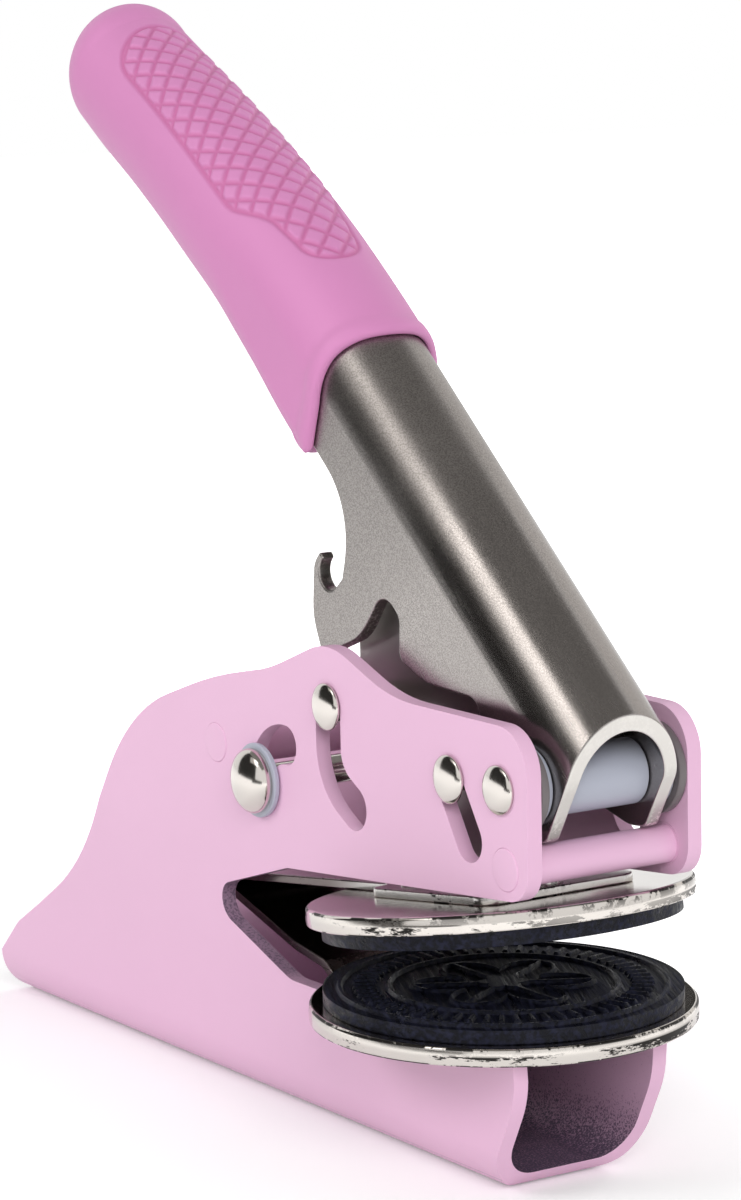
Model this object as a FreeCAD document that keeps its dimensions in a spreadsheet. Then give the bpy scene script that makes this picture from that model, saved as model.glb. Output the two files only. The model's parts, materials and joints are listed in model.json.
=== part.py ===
"""Hand seal embosser: a folded sheet-steel frame, a channel lever with a soft
grip, a linked press arm, a latch pin and a hairpin insert with two round dies.

Millimetres. +X runs forward out of the jaw, +Z up, and the visible side of the
photograph is the -Y side. The origin lies on the resting flat, under the
middle of the round die plates.
"""
import FreeCAD, Part
import Sketcher
import math
import os

from FreeCAD import Placement, Rotation, Vector

# Every driving size. Angles are in degrees, all else in millimetres. A rise is measured
# up from the base's upper edge, and a clearance of the strap from the plate's rim.
SIZES = {
    # frame: one folded sheet
    "frame_gauge": 2.2,
    "base_half_width": 12.0,
    "jaw_half_width": 13.5,
    "bend_radius": 7.0,
    "lean_low": 16.2,
    "lean_high": 36.5,
    "tail_reach": 117.6,
    "jaw_reach": 24.8,
    "base_reach": 19.1,
    "base_slant_back": 7.0,
    "base_slant_up": 13.8,
    "tail_height": 6.8,
    "base_height": 19.2,
    "mouth_rise": 8.6,
    "mouth_depth": 55.4,
    "mouth_radius": 2.9,
    "jaw_floor_rise": 21.4,
    "jaw_rear_rise": 16.0,
    "jaw_rise": 42.9,
    "hump_rise": 48.5,
    "jaw_corner_radius": 6.0,
    # pins and their slots in the frame
    "pivot_out": 18.9,
    "pivot_rise": 34.8,
    "guide_back": 20.1,
    "guide_rise": 39.7,
    "guide_slot_width": 6.0,
    "guide_slot_drop": 5.3,
    "guide_slot_bend": 7.0,
    "guide_slot_turn": 61.0,
    "guide_slot_toe": 2.6,
    "link_back": 10.7,
    "link_drop": 0.3,
    "link_slot_back": 11.3,
    "link_slot_drop": 0.2,
    "link_slot_width": 5.7,
    "link_slot_length": 8.6,
    "link_slot_angle": 58.0,
    "latch_turn_back": 31.2,
    "latch_turn_rise": 26.8,
    "latch_path_radius": 6.1,
    "latch_slot_width": 5.4,
    "latch_rest_angle": 176.2,
    "latch_slot_sweep": 90.0,
    "front_rod_set_back": 4.8,
    "front_rod_rise": 24.9,
    "front_rod_dia": 4.9,
    "rear_spacer_back": 48.9,
    "rear_spacer_rise": 30.6,
    "rear_spacer_dia": 7.0,
    "rivet_end_dia": 5.5,
    # pins
    "pivot_pin_dia": 4.6,
    "guide_pin_dia": 4.4,
    "link_pin_dia": 3.4,
    "latch_pin_dia": 4.0,
    "pin_head_dia": 6.3,
    "pin_head_height": 1.1,
    "latch_head_dia": 8.9,
    "latch_head_height": 2.7,
    "latch_washer_dia": 10.2,
    "latch_washer_gauge": 0.8,
    "running_gap": 0.05,
    "side_gap": 0.1,
    "seat_gap": 0.02,
    # sleeve and washers on the pivot pin
    "sleeve_dia": 8.5,
    "sleeve_end_radius": 0.8,
    "inner_washer_dia": 10.0,
    "outer_washer_dia": 12.0,
    # lever: one folded sheet round a straight tube line
    "lever_slope": 40.6,
    "lever_gauge": 2.0,
    "lever_radius": 8.7,
    "lever_axis_rise": 4.1,
    "lever_tube_reach": 86.0,
    "lever_edge_drop": 2.8,
    "lever_lobe_drop": 23.4,
    "pivot_lobe_radius": 7.1,
    "link_lobe_radius": 4.2,
    "hook_back": 48.7,
    "hook_drop": 13.5,
    "hook_radius": 2.2,
    "hook_prong": 1.0,
    "notch_back": 38.3,
    "notch_width": 5.0,
    "notch_top": 5.6,
    # grip
    "grip_start": 55.0,
    "grip_length": 83.7,
    "grip_fall": 9.6,
    "grip_half_width": 10.4,
    "grip_crown_lift": 1.1,
    "grip_mouth_low": 60.8,
    "grip_mouth_lean": 4.7,
    "grip_fit": 0.02,
    # press arm
    "arm_half_width": 5.0,
    "arm_gauge": 2.0,
    "arm_link_radius": 4.2,
    "arm_tail_radius": 4.9,
    "arm_horn_rise": 13.7,
    "arm_slot_width": 5.6,
    "foot_back": 1.0,
    "foot_rise": 22.8,
    "foot_radius": 3.95,
    "foot_pin_dia": 2.5,
    # hairpin insert
    "plate_dia": 51.0,
    "plate_gauge": 2.4,
    "die_dia": 47.2,
    "die_gauge": 2.2,
    "die_gap_closed": 0.3,
    "strap_gauge": 1.2,
    "strap_half_width": 8.6,
    "strap_front_half_width": 12.2,
    "strap_front_reach": 14.8,
    "strap_shoulder_back": 12.5,
    "strap_hinge_back": 55.0,
    "strap_hinge_rise": 9.0,
    "strap_open_angle": 7.7,
    "strap_bend_back": 52.2,
    "strap_bend_radius": 1.5,
    "strap_knee_clear": 12.0,
    "strap_knee_rise": 2.7,
    "strap_dip_clear": 4.9,
    "strap_dip_rise": 1.6,
    "strap_heel_clear": 1.3,
    "lower_strap_reach": 14.0,
    "strap_rivet_dia": 4.0,
    "strap_rivet_height": 0.9,
    "strap_rivet_back": 9.0,
    "strap_rivet_side": 7.0,
    "strap_rivet_front": 11.0,
    # how far a cutting outline runs past what it cuts
    "overrun": 4.0,
}

doc = FreeCAD.newDocument("SealEmbosser")
sheet = doc.addObject("Spreadsheet::Sheet", "Sizes")
for row, (alias, value) in enumerate(SIZES.items(), start=1):
    sheet.set(f"A{row}", alias)
    sheet.set(f"B{row}", str(value))
    sheet.setAlias(f"B{row}", alias)
doc.recompute()

PARTS = []
UP = Vector(0, 0, 1)
ACROSS = Vector(0, 1, 0)


def size(alias):
    """A driving size, read back from the sheet."""
    return float(sheet.get(alias))


def above_base(alias):
    """A height in the model from a rise that is given over the base's upper edge."""
    return size("base_height") + size(alias)


def over_base(alias):
    """The same height as an expression on the sheet."""
    return f"(Sizes.base_height + Sizes.{alias})"


def plane(angle):
    """Unit vector at an angle in the side view, as (x, z)."""
    turn = math.radians(angle)
    return math.cos(turn), math.sin(turn)


# Building blocks


def new_body(label):
    body = doc.addObject("PartDesign::Body", "Body_" + label)
    body.Label = label
    PARTS.append(body)
    return body


def new_sketch(body, role, name, shift=None):
    """A sketch on one of the body's own origin planes, moved off it by an expression."""
    sketch = body.newObject("Sketcher::SketchObject", f"{name}_{body.Label}")
    origin_plane = [item for item in body.Origin.OriginFeatures if item.Role == role][0]
    sketch.AttachmentSupport = (origin_plane, [""])
    sketch.MapMode = "FlatFace"
    if shift:
        sketch.setExpression("AttachmentOffset.Base.z", shift)
    return sketch


def rounded_outline(corners):
    """Lines and tangent arcs round closed (x, y, radius) corners.

    A radius too big for the sides beside it is drawn in until it fits them.
    """
    count = len(corners)
    spots = [Vector(x, y, 0) for x, y, radius in corners]
    halves = []
    runs = []
    for i, (x, y, radius) in enumerate(corners):
        half = (spots[i - 1] - spots[i]).getAngle(spots[(i + 1) % count] - spots[i]) / 2
        halves.append(half)
        runs.append(radius / math.tan(half))
    fits = [1.0] * count
    for i in range(count):
        after = (i + 1) % count
        side = (spots[after] - spots[i]).Length
        if runs[i] + runs[after] > side:
            share = side / (runs[i] + runs[after])
            fits[i] = min(fits[i], share)
            fits[after] = min(fits[after], share)
    spans = []
    for i in range(count):
        run = runs[i] * fits[i]
        if run == 0:
            spans.append((spots[i], None, spots[i]))
            continue
        into = (spots[i - 1] - spots[i]).normalize()
        out = (spots[(i + 1) % count] - spots[i]).normalize()
        radius = run * math.tan(halves[i])
        reach = radius / math.sin(halves[i]) - radius
        middle = spots[i] + (into + out).normalize() * reach
        spans.append((spots[i] + into * run, middle, spots[i] + out * run))
    geometry = []
    for i, (start, middle, end) in enumerate(spans):
        if middle:
            geometry.append(Part.Arc(start, middle, end))
        onward = spans[(i + 1) % count][0]
        if (onward - end).Length > 1e-6:
            geometry.append(Part.LineSegment(end, onward))
    return geometry


def add_outline(sketch, corners):
    sketch.addGeometry(rounded_outline(corners), False)


def add_window(sketch):
    """A rectangle beyond what the sketch holds so far, so that a pocket cuts the outside away."""
    margin = size("overrun") * 2
    box = FreeCAD.BoundBox()
    for item in sketch.Geometry:
        box.add(item.toShape().BoundBox)
    low_x, high_x = box.XMin - margin, box.XMax + margin
    low_y, high_y = box.YMin - margin, box.YMax + margin
    add_outline(sketch, [(low_x, low_y, 0), (high_x, low_y, 0), (high_x, high_y, 0), (low_x, high_y, 0)])


def add_circle(sketch, across, along, diameter):
    """A circle whose place and diameter are bound to expressions on the sheet."""
    index = sketch.addGeometry(Part.Circle(Vector(1, 1, 0), Vector(0, 0, 1), 1), False)
    for kind, expression in (("DistanceX", across), ("DistanceY", along)):
        if expression == "0":
            point_kind = "PointOnObject"
            axis = -2 if kind == "DistanceX" else -1
            sketch.addConstraint(Sketcher.Constraint(point_kind, index, 3, axis))
            continue
        number = sketch.addConstraint(Sketcher.Constraint(kind, -1, 1, index, 3, 1.0))
        sketch.setExpression(f"Constraints[{number}]", expression)
    number = sketch.addConstraint(Sketcher.Constraint("Diameter", index, 2.0))
    sketch.setExpression(f"Constraints[{number}]", diameter)


def stadium(start, end, half_width):
    """Outline corners of a straight slot between two end centres."""
    run = Vector(end[0] - start[0], end[1] - start[1], 0).normalize() * half_width
    side = Vector(-run.y, run.x, 0)
    corners = []
    for spot, way in ((start, -1), (end, 1)):
        for turn in (way, -way):
            away = run * way + side * turn
            corners.append((spot[0] + away.x, spot[1] + away.y, half_width))
    return corners


def pad(body, sketch, length):
    feature = body.newObject("PartDesign::Pad", "Pad_" + sketch.Name)
    feature.Profile = sketch
    feature.SideType = "Symmetric"
    feature.setExpression("Length", length)
    doc.recompute()
    return feature


def pad_along(body, sketch, length):
    feature = body.newObject("PartDesign::Pad", "Pad_" + sketch.Name)
    feature.Profile = sketch
    feature.setExpression("Length", length)
    doc.recompute()
    return feature


def pocket(body, sketch, length=None):
    """Cut through the body both ways from the sketch, or over a symmetric length."""
    before = body.Shape.Volume
    feature = body.newObject("PartDesign::Pocket", "Pocket_" + sketch.Name)
    feature.Profile = sketch
    feature.SideType = "Symmetric"
    if length:
        feature.setExpression("Length", length)
    else:
        feature.Type = "ThroughAll"
    doc.recompute()
    if not body.Shape.Volume < before:
        raise ValueError(f"{feature.Name} cuts nothing")
    return feature


def revolve(label, corners):
    """A body turned about its own Y axis from (radius, along, fillet) corners."""
    body = new_body(label)
    sketch = new_sketch(body, "XY_Plane", "Profile")
    add_outline(sketch, corners)
    feature = body.newObject("PartDesign::Revolution", "Turn_" + label)
    feature.Profile = sketch
    feature.ReferenceAxis = (sketch, ["V_Axis"])
    feature.Angle = 360
    doc.recompute()
    return body


def place(body, across, up, out="0"):
    """Bind a body's place in the side view, and across the object, to the sheet."""
    body.setExpression("Placement.Base.x", across)
    body.setExpression("Placement.Base.z", up)
    body.setExpression("Placement.Base.y", out)


# Places in the side view that several pieces share
PIVOT_AT = ("Sizes.pivot_out", over_base("pivot_rise"))
LINK_AT = ("Sizes.pivot_out - Sizes.link_back", over_base("pivot_rise") + " - Sizes.link_drop")
FRONT_ROD_AT = ("Sizes.jaw_reach - Sizes.front_rod_set_back", over_base("front_rod_rise"))
REAR_SPACER_AT = ("-Sizes.rear_spacer_back", over_base("rear_spacer_rise"))


# Frame


def wall_half_width(up):
    """Outer half width of the frame at a height: the walls lean out above the base."""
    share = (up - size("lean_low")) / (size("lean_high") - size("lean_low"))
    share = min(max(share, 0.0), 1.0)
    return size("base_half_width") + share * (size("jaw_half_width") - size("base_half_width"))


def frame_outline():
    """Side view of the frame, clockwise from the tail's foot."""
    tail, jaw, base = size("tail_reach"), size("jaw_reach"), size("base_reach")
    top, hump = above_base("jaw_rise"), above_base("hump_rise")
    corner = size("jaw_corner_radius")
    # The back climbs from the tail to the hump; shares of the tail's reach and the hump's height.
    back_shares = (
        (0.952, 0.180, 0.06),
        (0.764, 0.374, 0.38),
        (0.622, 0.752, 0.29),
        (0.416, 0.875, 0.90),
        (0.295, 0.916, 0.35),
    )
    corners = [(-tail, 0, 0), (-tail, size("tail_height"), 0)]
    corners += [(-tail * back, hump * up, tail * bend) for back, up, bend in back_shares]
    corners += [
        (-size("guide_back"), hump, corner * 2),
        (-size("guide_back") + (hump - top) * 2.7, top, corner * 5),
        (jaw, top, corner),
        (jaw, above_base("jaw_floor_rise"), corner * 0.7),
        (-size("latch_turn_back"), above_base("jaw_rear_rise"), corner),
        (-size("mouth_depth"), above_base("mouth_rise"), size("mouth_radius")),
        (-size("latch_turn_back") - corner * 0.3, size("base_height"), corner),
        (base, size("base_height"), corner * 0.15),
        (base, size("base_slant_up"), corner * 2),
        (base - size("base_slant_back"), 0, corner * 0.7),
    ]
    return corners


def guide_slot():
    """Outline of the bent slot: straight down, then a turn forward and a short toe."""
    half = size("guide_slot_width") / 2
    start_x, start_z = -size("guide_back"), above_base("guide_rise")
    knee_z = start_z - size("guide_slot_drop")
    bend = size("guide_slot_bend")
    turn = math.radians(size("guide_slot_turn"))
    vertex_z = knee_z - bend * math.tan(turn / 2)
    reach = bend * math.tan(turn / 2) + size("guide_slot_toe")
    run_x, run_z = math.sin(turn), -math.cos(turn)
    toe_x, toe_z = start_x + run_x * reach, vertex_z + run_z * reach
    end_x, end_z = toe_x + run_x * half, toe_z + run_z * half
    inner = (start_x + half, vertex_z + half * math.tan(turn / 2), bend - half)
    outer = (start_x - half, vertex_z - half * math.tan(turn / 2), bend + half)
    return [
        (start_x - half, start_z + half, half),
        (start_x + half, start_z + half, half),
        inner,
        (end_x + half * math.cos(turn), end_z + half * math.sin(turn), half),
        (end_x - half * math.cos(turn), end_z - half * math.sin(turn), half),
        outer,
    ]


def link_slot():
    """Ends of the straight slot that the link pin moves in, and its half width."""
    run_x, run_z = plane(-size("link_slot_angle"))
    start = (size("pivot_out") - size("link_slot_back"), above_base("pivot_rise") - size("link_slot_drop"))
    end = (start[0] + run_x * size("link_slot_length"), start[1] + run_z * size("link_slot_length"))
    return start, end, size("link_slot_width") / 2


def latch_slot_geometry():
    """Arc slot concentric about the latch's turning point."""
    centre = Vector(-size("latch_turn_back"), above_base("latch_turn_rise"), 0)
    half = size("latch_slot_width") / 2
    middle = size("latch_path_radius")
    first = math.radians(size("latch_rest_angle") - size("latch_slot_sweep"))
    last = math.radians(size("latch_rest_angle"))

    def spot(radius, angle):
        return centre + Vector(radius * math.cos(angle), radius * math.sin(angle), 0)

    def cap(angle, way):
        tip = Vector(-math.sin(angle), math.cos(angle), 0) * (half * way)
        ends = spot(middle + half * way, angle), spot(middle - half * way, angle)
        return Part.Arc(ends[0], spot(middle, angle) + tip, ends[1])

    between = (first + last) / 2
    outer = Part.Arc(spot(middle + half, first), spot(middle + half, between), spot(middle + half, last))
    inner = Part.Arc(spot(middle - half, last), spot(middle - half, between), spot(middle - half, first))
    return [outer, cap(last, 1), inner, cap(first, -1)]


def make_frame():
    body = new_body("frame")
    gauge = size("frame_gauge")
    top = above_base("hump_rise") + size("overrun")
    section = new_sketch(body, "YZ_Plane", "Section", "-Sizes.tail_reach")
    outer = [(wall_half_width(top), top), (wall_half_width(top), size("lean_high")),
             (size("base_half_width"), size("lean_low"))]
    bend = size("bend_radius")
    corners = [(y, z, 0) for y, z in outer]
    corners.append((size("base_half_width"), 0, bend))
    corners.append((-size("base_half_width"), 0, bend))
    corners += [(-y, z, 0) for y, z in reversed(outer)]
    inner = [(y - gauge, z, 0) for y, z in outer]
    inner.append((size("base_half_width") - gauge, gauge, bend - gauge))
    corners += [(-y, z, radius) for y, z, radius in inner]
    corners += list(reversed(inner))
    add_outline(section, corners)
    pad_along(body, section, "Sizes.tail_reach + Sizes.jaw_reach")
    side = new_sketch(body, "XZ_Plane", "Side")
    add_outline(side, frame_outline())
    add_window(side)
    pocket(body, side)
    slots = new_sketch(body, "XZ_Plane", "Slots")
    add_outline(slots, guide_slot())
    add_outline(slots, stadium(*link_slot()))
    slots.addGeometry(latch_slot_geometry(), False)
    pocket(body, slots)
    holes = new_sketch(body, "XZ_Plane", "Holes")
    add_circle(holes, *PIVOT_AT, "Sizes.pivot_pin_dia + 2 * Sizes.seat_gap")
    for at in (FRONT_ROD_AT, REAR_SPACER_AT):
        add_circle(holes, *at, "Sizes.rivet_end_dia + 2 * Sizes.seat_gap")
    pocket(body, holes)
    return body


def make_spacer(label, shaft, across, up):
    """A shouldered rod between the walls, its ends riveted flush with the outside."""
    gap = size("seat_gap")
    shoulder = size("jaw_half_width") - size("frame_gauge") - gap
    end = size("rivet_end_dia") / 2
    radius = size(shaft) / 2
    step = min(radius, end)
    outer = size("jaw_half_width")
    corners = [(0, -outer, 0), (end, -outer, 0), (end, -shoulder, 0), (radius, -shoulder, 0),
               (radius, shoulder, 0), (end, shoulder, 0), (end, outer, 0), (0, outer, 0)]
    body = revolve(label, corners)
    place(body, across, up)
    return body


# Pins, sleeve and washers


def pin_corners(shank, head, dome, seat):
    """Half profile of a pin with a domed head at both ends."""
    rim = dome * 0.28
    reach = seat + dome
    half = [(shank, seat, 0), (head, seat, 0), (head, seat + rim, dome * 0.2),
            (head * 0.72, reach, dome * 0.9), (0, reach, 0)]
    low = [(radius, -along, fillet) for radius, along, fillet in reversed(half)]
    return low + half


def make_pin(label, shank, head, dome, seat, across, up):
    body = revolve(label, pin_corners(size(shank) / 2, size(head) / 2, size(dome), seat))
    place(body, across, up)
    return body


def make_ring(label, bore, outer, near, far, across, up, fillet=0.0):
    """A washer or sleeve between two planes across the object."""
    corners = [(bore, near, 0), (outer, near, fillet), (outer, far, fillet), (bore, far, 0)]
    body = revolve(label, corners)
    place(body, across, up)
    return body


def make_pivot_pieces():
    wall = size("jaw_half_width")
    inside = wall - size("frame_gauge")
    plate = size("lever_radius")
    gap = size("side_gap")
    bore = size("pivot_pin_dia") / 2 + size("seat_gap")
    make_pin("pivot_pin", "pivot_pin_dia", "pin_head_dia", "pin_head_height", wall, *PIVOT_AT)
    sleeve_end = plate - size("lever_gauge") - gap
    make_ring("pivot_sleeve", size("pivot_pin_dia") / 2 + size("running_gap"), size("sleeve_dia") / 2,
              -sleeve_end, sleeve_end, *PIVOT_AT, fillet=size("sleeve_end_radius"))
    washer = (inside - plate - 2 * gap) / 2
    near = plate + gap
    for side, way in (("left", -1), ("right", 1)):
        for name, start in (("inner", near), ("outer", near + washer)):
            ends = sorted((way * start, way * (start + washer)))
            outer = size(f"{name}_washer_dia") / 2
            make_ring(f"pivot_washer_{name}_{side}", bore, outer, *ends, *PIVOT_AT, fillet=washer * 0.25)


def make_moving_pins():
    wall = size("jaw_half_width") + size("side_gap")
    make_pin("link_pin", "link_pin_dia", "pin_head_dia", "pin_head_height", wall,
             *LINK_AT)
    make_pin("guide_pin", "guide_pin_dia", "pin_head_dia", "pin_head_height", wall,
             "-Sizes.guide_back", over_base("guide_rise"))
    path = "Sizes.latch_path_radius"
    back = f"-Sizes.latch_turn_back + {path} * cos(Sizes.latch_rest_angle)"
    up = over_base("latch_turn_rise") + f" + {path} * sin(Sizes.latch_rest_angle)"
    washer = size("latch_washer_gauge")
    make_pin("latch_pin", "latch_pin_dia", "latch_head_dia", "latch_head_height", wall + washer, back, up)
    bore = size("latch_pin_dia") / 2 + size("seat_gap")
    for side, way in (("left", -1), ("right", 1)):
        ends = sorted((way * wall, way * (wall + washer)))
        make_ring(f"latch_washer_{side}", bore, size("latch_washer_dia") / 2, *ends, back, up)


# Lever and grip, drawn along the tube line with the pivot at their own origin


def set_on_lever(body):
    """Stand a body drawn along the lever on the pivot at the lever's slope."""
    body.Placement = Placement(Vector(), Rotation(ACROSS, size("lever_slope")))
    body.setExpression("Placement.Rotation.Angle", "Sizes.lever_slope")
    place(body, *PIVOT_AT)


def link_on_lever():
    """The link pin's place in the lever's own frame."""
    turn = math.radians(size("lever_slope"))
    back, drop = -size("link_back"), -size("link_drop")
    return back * math.cos(turn) - drop * math.sin(turn), back * math.sin(turn) + drop * math.cos(turn)


def lobe_corners():
    """Corners whose fillets are the lobes round the pivot and the link pin."""
    link_x, link_z = link_on_lever()
    far = math.hypot(link_x, link_z)
    pivot, link = size("pivot_lobe_radius"), size("link_lobe_radius")
    tangent = math.atan2(link_z, link_x) + math.acos((pivot - link) / far)
    front = math.radians(-43)

    def meet(angle_a, reach_a, angle_b, reach_b):
        """Where the lines at two directions and distances from the pivot cross."""
        det = math.sin(angle_b - angle_a)
        x = (reach_a * math.sin(angle_b) - reach_b * math.sin(angle_a)) / det
        z = (reach_b * math.cos(angle_a) - reach_a * math.cos(angle_b)) / det
        return x, z

    toe = meet(front, pivot, tangent, pivot)
    side = math.radians(180)
    heel = meet(tangent, pivot, side, -(link_x - link))
    return (*toe, pivot), (*heel, link), link_x - link


def lever_outline():
    """Side view of the lever's plates: front end, lobes, notch, hook and tube edge."""
    rise, radius = size("lever_axis_rise"), size("lever_radius")
    ridge = rise + radius
    margin = size("lever_gauge")
    edge = -size("lever_edge_drop")
    rear = -size("lever_tube_reach")
    notch_left = -size("notch_back")
    notch_top = -size("notch_top")
    notch_right = notch_left + size("notch_width")
    hook_x, hook_z, hook = -size("hook_back"), -size("hook_drop"), size("hook_radius")
    prong = hook_x - hook - size("hook_prong")
    lobe = -size("lever_lobe_drop")
    toe, heel, lobe_side = lobe_corners()
    drop = size("lever_lobe_drop")
    return [
        (rear, ridge + margin, 0),
        (radius * 0.10 - margin * 0.55, ridge + margin, 0),
        (radius * 0.59, rise * 1.30, radius * 0.7),
        (radius * 0.78, -rise * 0.80, margin * 0.75),
        toe,
        heel,
        (lobe_side, rise * 0.36, margin * 1.25),
        (notch_left + size("notch_width") * 2.84, notch_top * 1.41, radius * 1.15),
        (notch_right + size("notch_width") * 0.68, notch_top * 1.76, margin * 0.9),
        (notch_right, notch_top, margin),
        (notch_left, notch_top, size("notch_width") * 0.58),
        (notch_left + margin * 0.25, notch_top - drop * 0.38, drop * 0.35),
        (notch_left - drop * 0.184, lobe, margin * 0.75),
        (hook_x + hook * 0.41, lobe + drop * 0.107, drop * 0.35),
        (prong - margin * 0.1, hook_z - hook * 0.68, margin * 1.5),
        (prong, hook_z + hook * 0.36, size("hook_prong") * 0.4),
        (hook_x - hook, hook_z + hook * 0.27, size("hook_prong") * 0.3),
        (hook_x - hook, hook_z - hook, hook * 0.98),
        (hook_x + hook, hook_z - hook, hook * 0.98),
        (hook_x + hook * 1.27, hook_z + hook * 0.86, margin * 0.4),
        (hook_x - hook * 0.68, edge, radius * 1.35),
        (rear, edge, 0),
    ]


def channel_corners(outer, gauge, rise, depth):
    """Closed section of an inverted U: (y, z, radius), the bend centred at the rise."""
    inner = outer - gauge
    crown = rise + outer
    return [
        (outer, -depth, 0), (outer, crown, outer), (-outer, crown, outer), (-outer, -depth, 0),
        (-inner, -depth, 0), (-inner, crown - gauge, inner), (inner, crown - gauge, inner),
        (inner, -depth, 0),
    ]


def make_lever():
    body = new_body("lever")
    section = new_sketch(body, "YZ_Plane", "Section", "-Sizes.lever_tube_reach")
    depth = size("lever_lobe_drop") + size("lever_gauge")
    outer, rise = size("lever_radius"), size("lever_axis_rise")
    add_outline(section, channel_corners(outer, size("lever_gauge"), rise, depth))
    pad_along(body, section, "Sizes.lever_tube_reach + Sizes.lever_radius")
    side = new_sketch(body, "XZ_Plane", "Side")
    add_outline(side, lever_outline())
    add_window(side)
    pocket(body, side)
    holes = new_sketch(body, "XZ_Plane", "Holes")
    add_circle(holes, "0", "0", "Sizes.pivot_pin_dia + 2 * Sizes.running_gap")
    link = ("-Sizes.link_back * cos(Sizes.lever_slope) + Sizes.link_drop * sin(Sizes.lever_slope)",
            "-Sizes.link_back * sin(Sizes.lever_slope) - Sizes.link_drop * cos(Sizes.lever_slope)")
    add_circle(holes, *link, "Sizes.link_pin_dia + 2 * Sizes.running_gap")
    pocket(body, holes)
    set_on_lever(body)
    return body


def grip_sections():
    """Middle point, half width, drop below it and lower corner of each section, back along the lever."""
    start, length = size("grip_start"), size("grip_length")
    widest = size("grip_half_width")
    # distance back, fall of the middle line, half width, drop and lower corner, as shares
    section_shares = (
        (0.000, 0.000, 0.923, 0.942, 0.29),
        (0.090, 0.000, 0.928, 0.962, 0.31),
        (0.180, 0.000, 0.933, 0.981, 0.34),
        (0.300, 0.016, 0.928, 1.000, 0.44),
        (0.395, 0.083, 0.943, 1.017, 0.61),
        (0.478, 0.204, 0.978, 1.036, 0.86),
        (0.573, 0.339, 1.000, 1.005, 0.95),
        (0.681, 0.464, 0.981, 0.981, 0.94),
        (0.800, 0.635, 0.957, 0.950, 0.91),
        (0.908, 0.822, 0.940, 0.915, 0.88),
        (1.000, 0.965, 0.920, 0.865, 0.83),
    )
    sections = []
    for back, fall, half, drop, corner in section_shares:
        middle = Vector(-start - back * length, 0, size("lever_axis_rise") - fall * size("grip_fall"))
        sections.append((middle, half * widest, drop * widest, corner * widest))
    return sections


def grip_section(middle, turn, half_width, drop, corner):
    """Wire of one section: a round top, straight sides and a rounded bottom."""
    side_low = -(drop - corner)
    flat = half_width - corner
    knee = corner * math.sqrt(0.5)
    points = {
        "right": (half_width, 0), "top": (0, half_width), "left": (-half_width, 0),
        "left_low": (-half_width, side_low), "left_knee": (-flat - knee, side_low - knee),
        "left_foot": (-flat, -drop), "right_foot": (flat, -drop),
        "right_knee": (flat + knee, side_low - knee), "right_low": (half_width, side_low),
    }
    rotation = Rotation(ACROSS, -math.degrees(turn))

    def spot(name):
        y, z = points[name]
        return middle + rotation.multVec(Vector(0, y, z))

    edges = [
        Part.Arc(spot("right"), spot("top"), spot("left")).toShape(),
        Part.LineSegment(spot("left"), spot("left_low")).toShape(),
        Part.Arc(spot("left_low"), spot("left_knee"), spot("left_foot")).toShape(),
        Part.LineSegment(spot("left_foot"), spot("right_foot")).toShape(),
        Part.Arc(spot("right_foot"), spot("right_knee"), spot("right_low")).toShape(),
        Part.LineSegment(spot("right_low"), spot("right")).toShape(),
    ]
    return Part.Wire(edges)


def grip_hull():
    """Loft through the sections, square to the middle line, and on over the domed end."""
    sections = grip_sections()
    last = len(sections) - 1
    wires = []
    for i, (middle, half, drop, corner) in enumerate(sections):
        way = sections[min(i + 1, last)][0] - sections[max(i - 1, 0)][0]
        turn = math.atan2(-way.z, -way.x)
        wires.append(grip_section(middle, turn, half, drop, corner))
    # The domed end turns up a little, so its crown stands above the falling line.
    dome_shares = (0.35, 0.62, 0.82, 0.94, 0.985)
    for share in dome_shares:
        shrink = math.sqrt(1 - share ** 2)
        top, low = half * shrink, drop * shrink
        back = middle + Vector(-half * share, 0, size("grip_crown_lift") * share ** 1.5)
        wires.append(grip_section(back, turn * (1 - share), top, low, min(top, low) * 0.93))
    return Part.makeLoft(wires, True, False)


def mouth_cutter():
    """Prism in front of the grip's mouth, which leans back over the tube."""
    low, lean = size("grip_mouth_low"), size("grip_mouth_lean")
    rise = size("lever_axis_rise")
    wall = size("grip_half_width") * 2
    # lean of the mouth and height over the middle line, as shares of the lean and of the rise
    edge_shares = ((0.00, -4.0), (0.00, -1.75), (0.26, -0.46), (1.00, 1.20), (0.90, 2.20), (0.80, 4.0))
    edge = [Vector(-low - back * lean, -wall, rise + up * rise) for back, up in edge_shares]
    corners = [Vector(0, -wall, edge[0].z)] + edge + [Vector(0, -wall, edge[-1].z)]
    return extruded(Part.makePolygon(corners + corners[:1]), Vector(0, 2 * wall, 0))


def make_grip():
    """Soft sleeve lofted along the bent line, hollow over the lever's channel."""
    fit = size("grip_fit")
    outer = size("lever_radius") + fit
    rise = size("lever_axis_rise")
    low = size("lever_edge_drop") + fit
    reach = size("lever_tube_reach") + fit
    core = extruded(Part.makePolygon([Vector(-reach, -outer, -low), Vector(-reach, outer, -low),
                                      Vector(-reach, outer, rise), Vector(-reach, -outer, rise),
                                      Vector(-reach, -outer, -low)]), Vector(reach, 0, 0))
    tube = Part.makeCylinder(outer, reach, Vector(-reach, 0, rise), Vector(1, 0, 0))
    grip = doc.addObject("Part::Feature", "Body_grip")
    grip.Label = "grip"
    grip.Shape = grip_hull().cut(core.fuse(tube)).cut(mouth_cutter())
    PARTS.append(grip)
    set_on_lever(grip)
    return grip


def extruded(wire, way):
    return Part.Face(Part.Wire(wire)).extrude(way)


# Press arm


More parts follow.
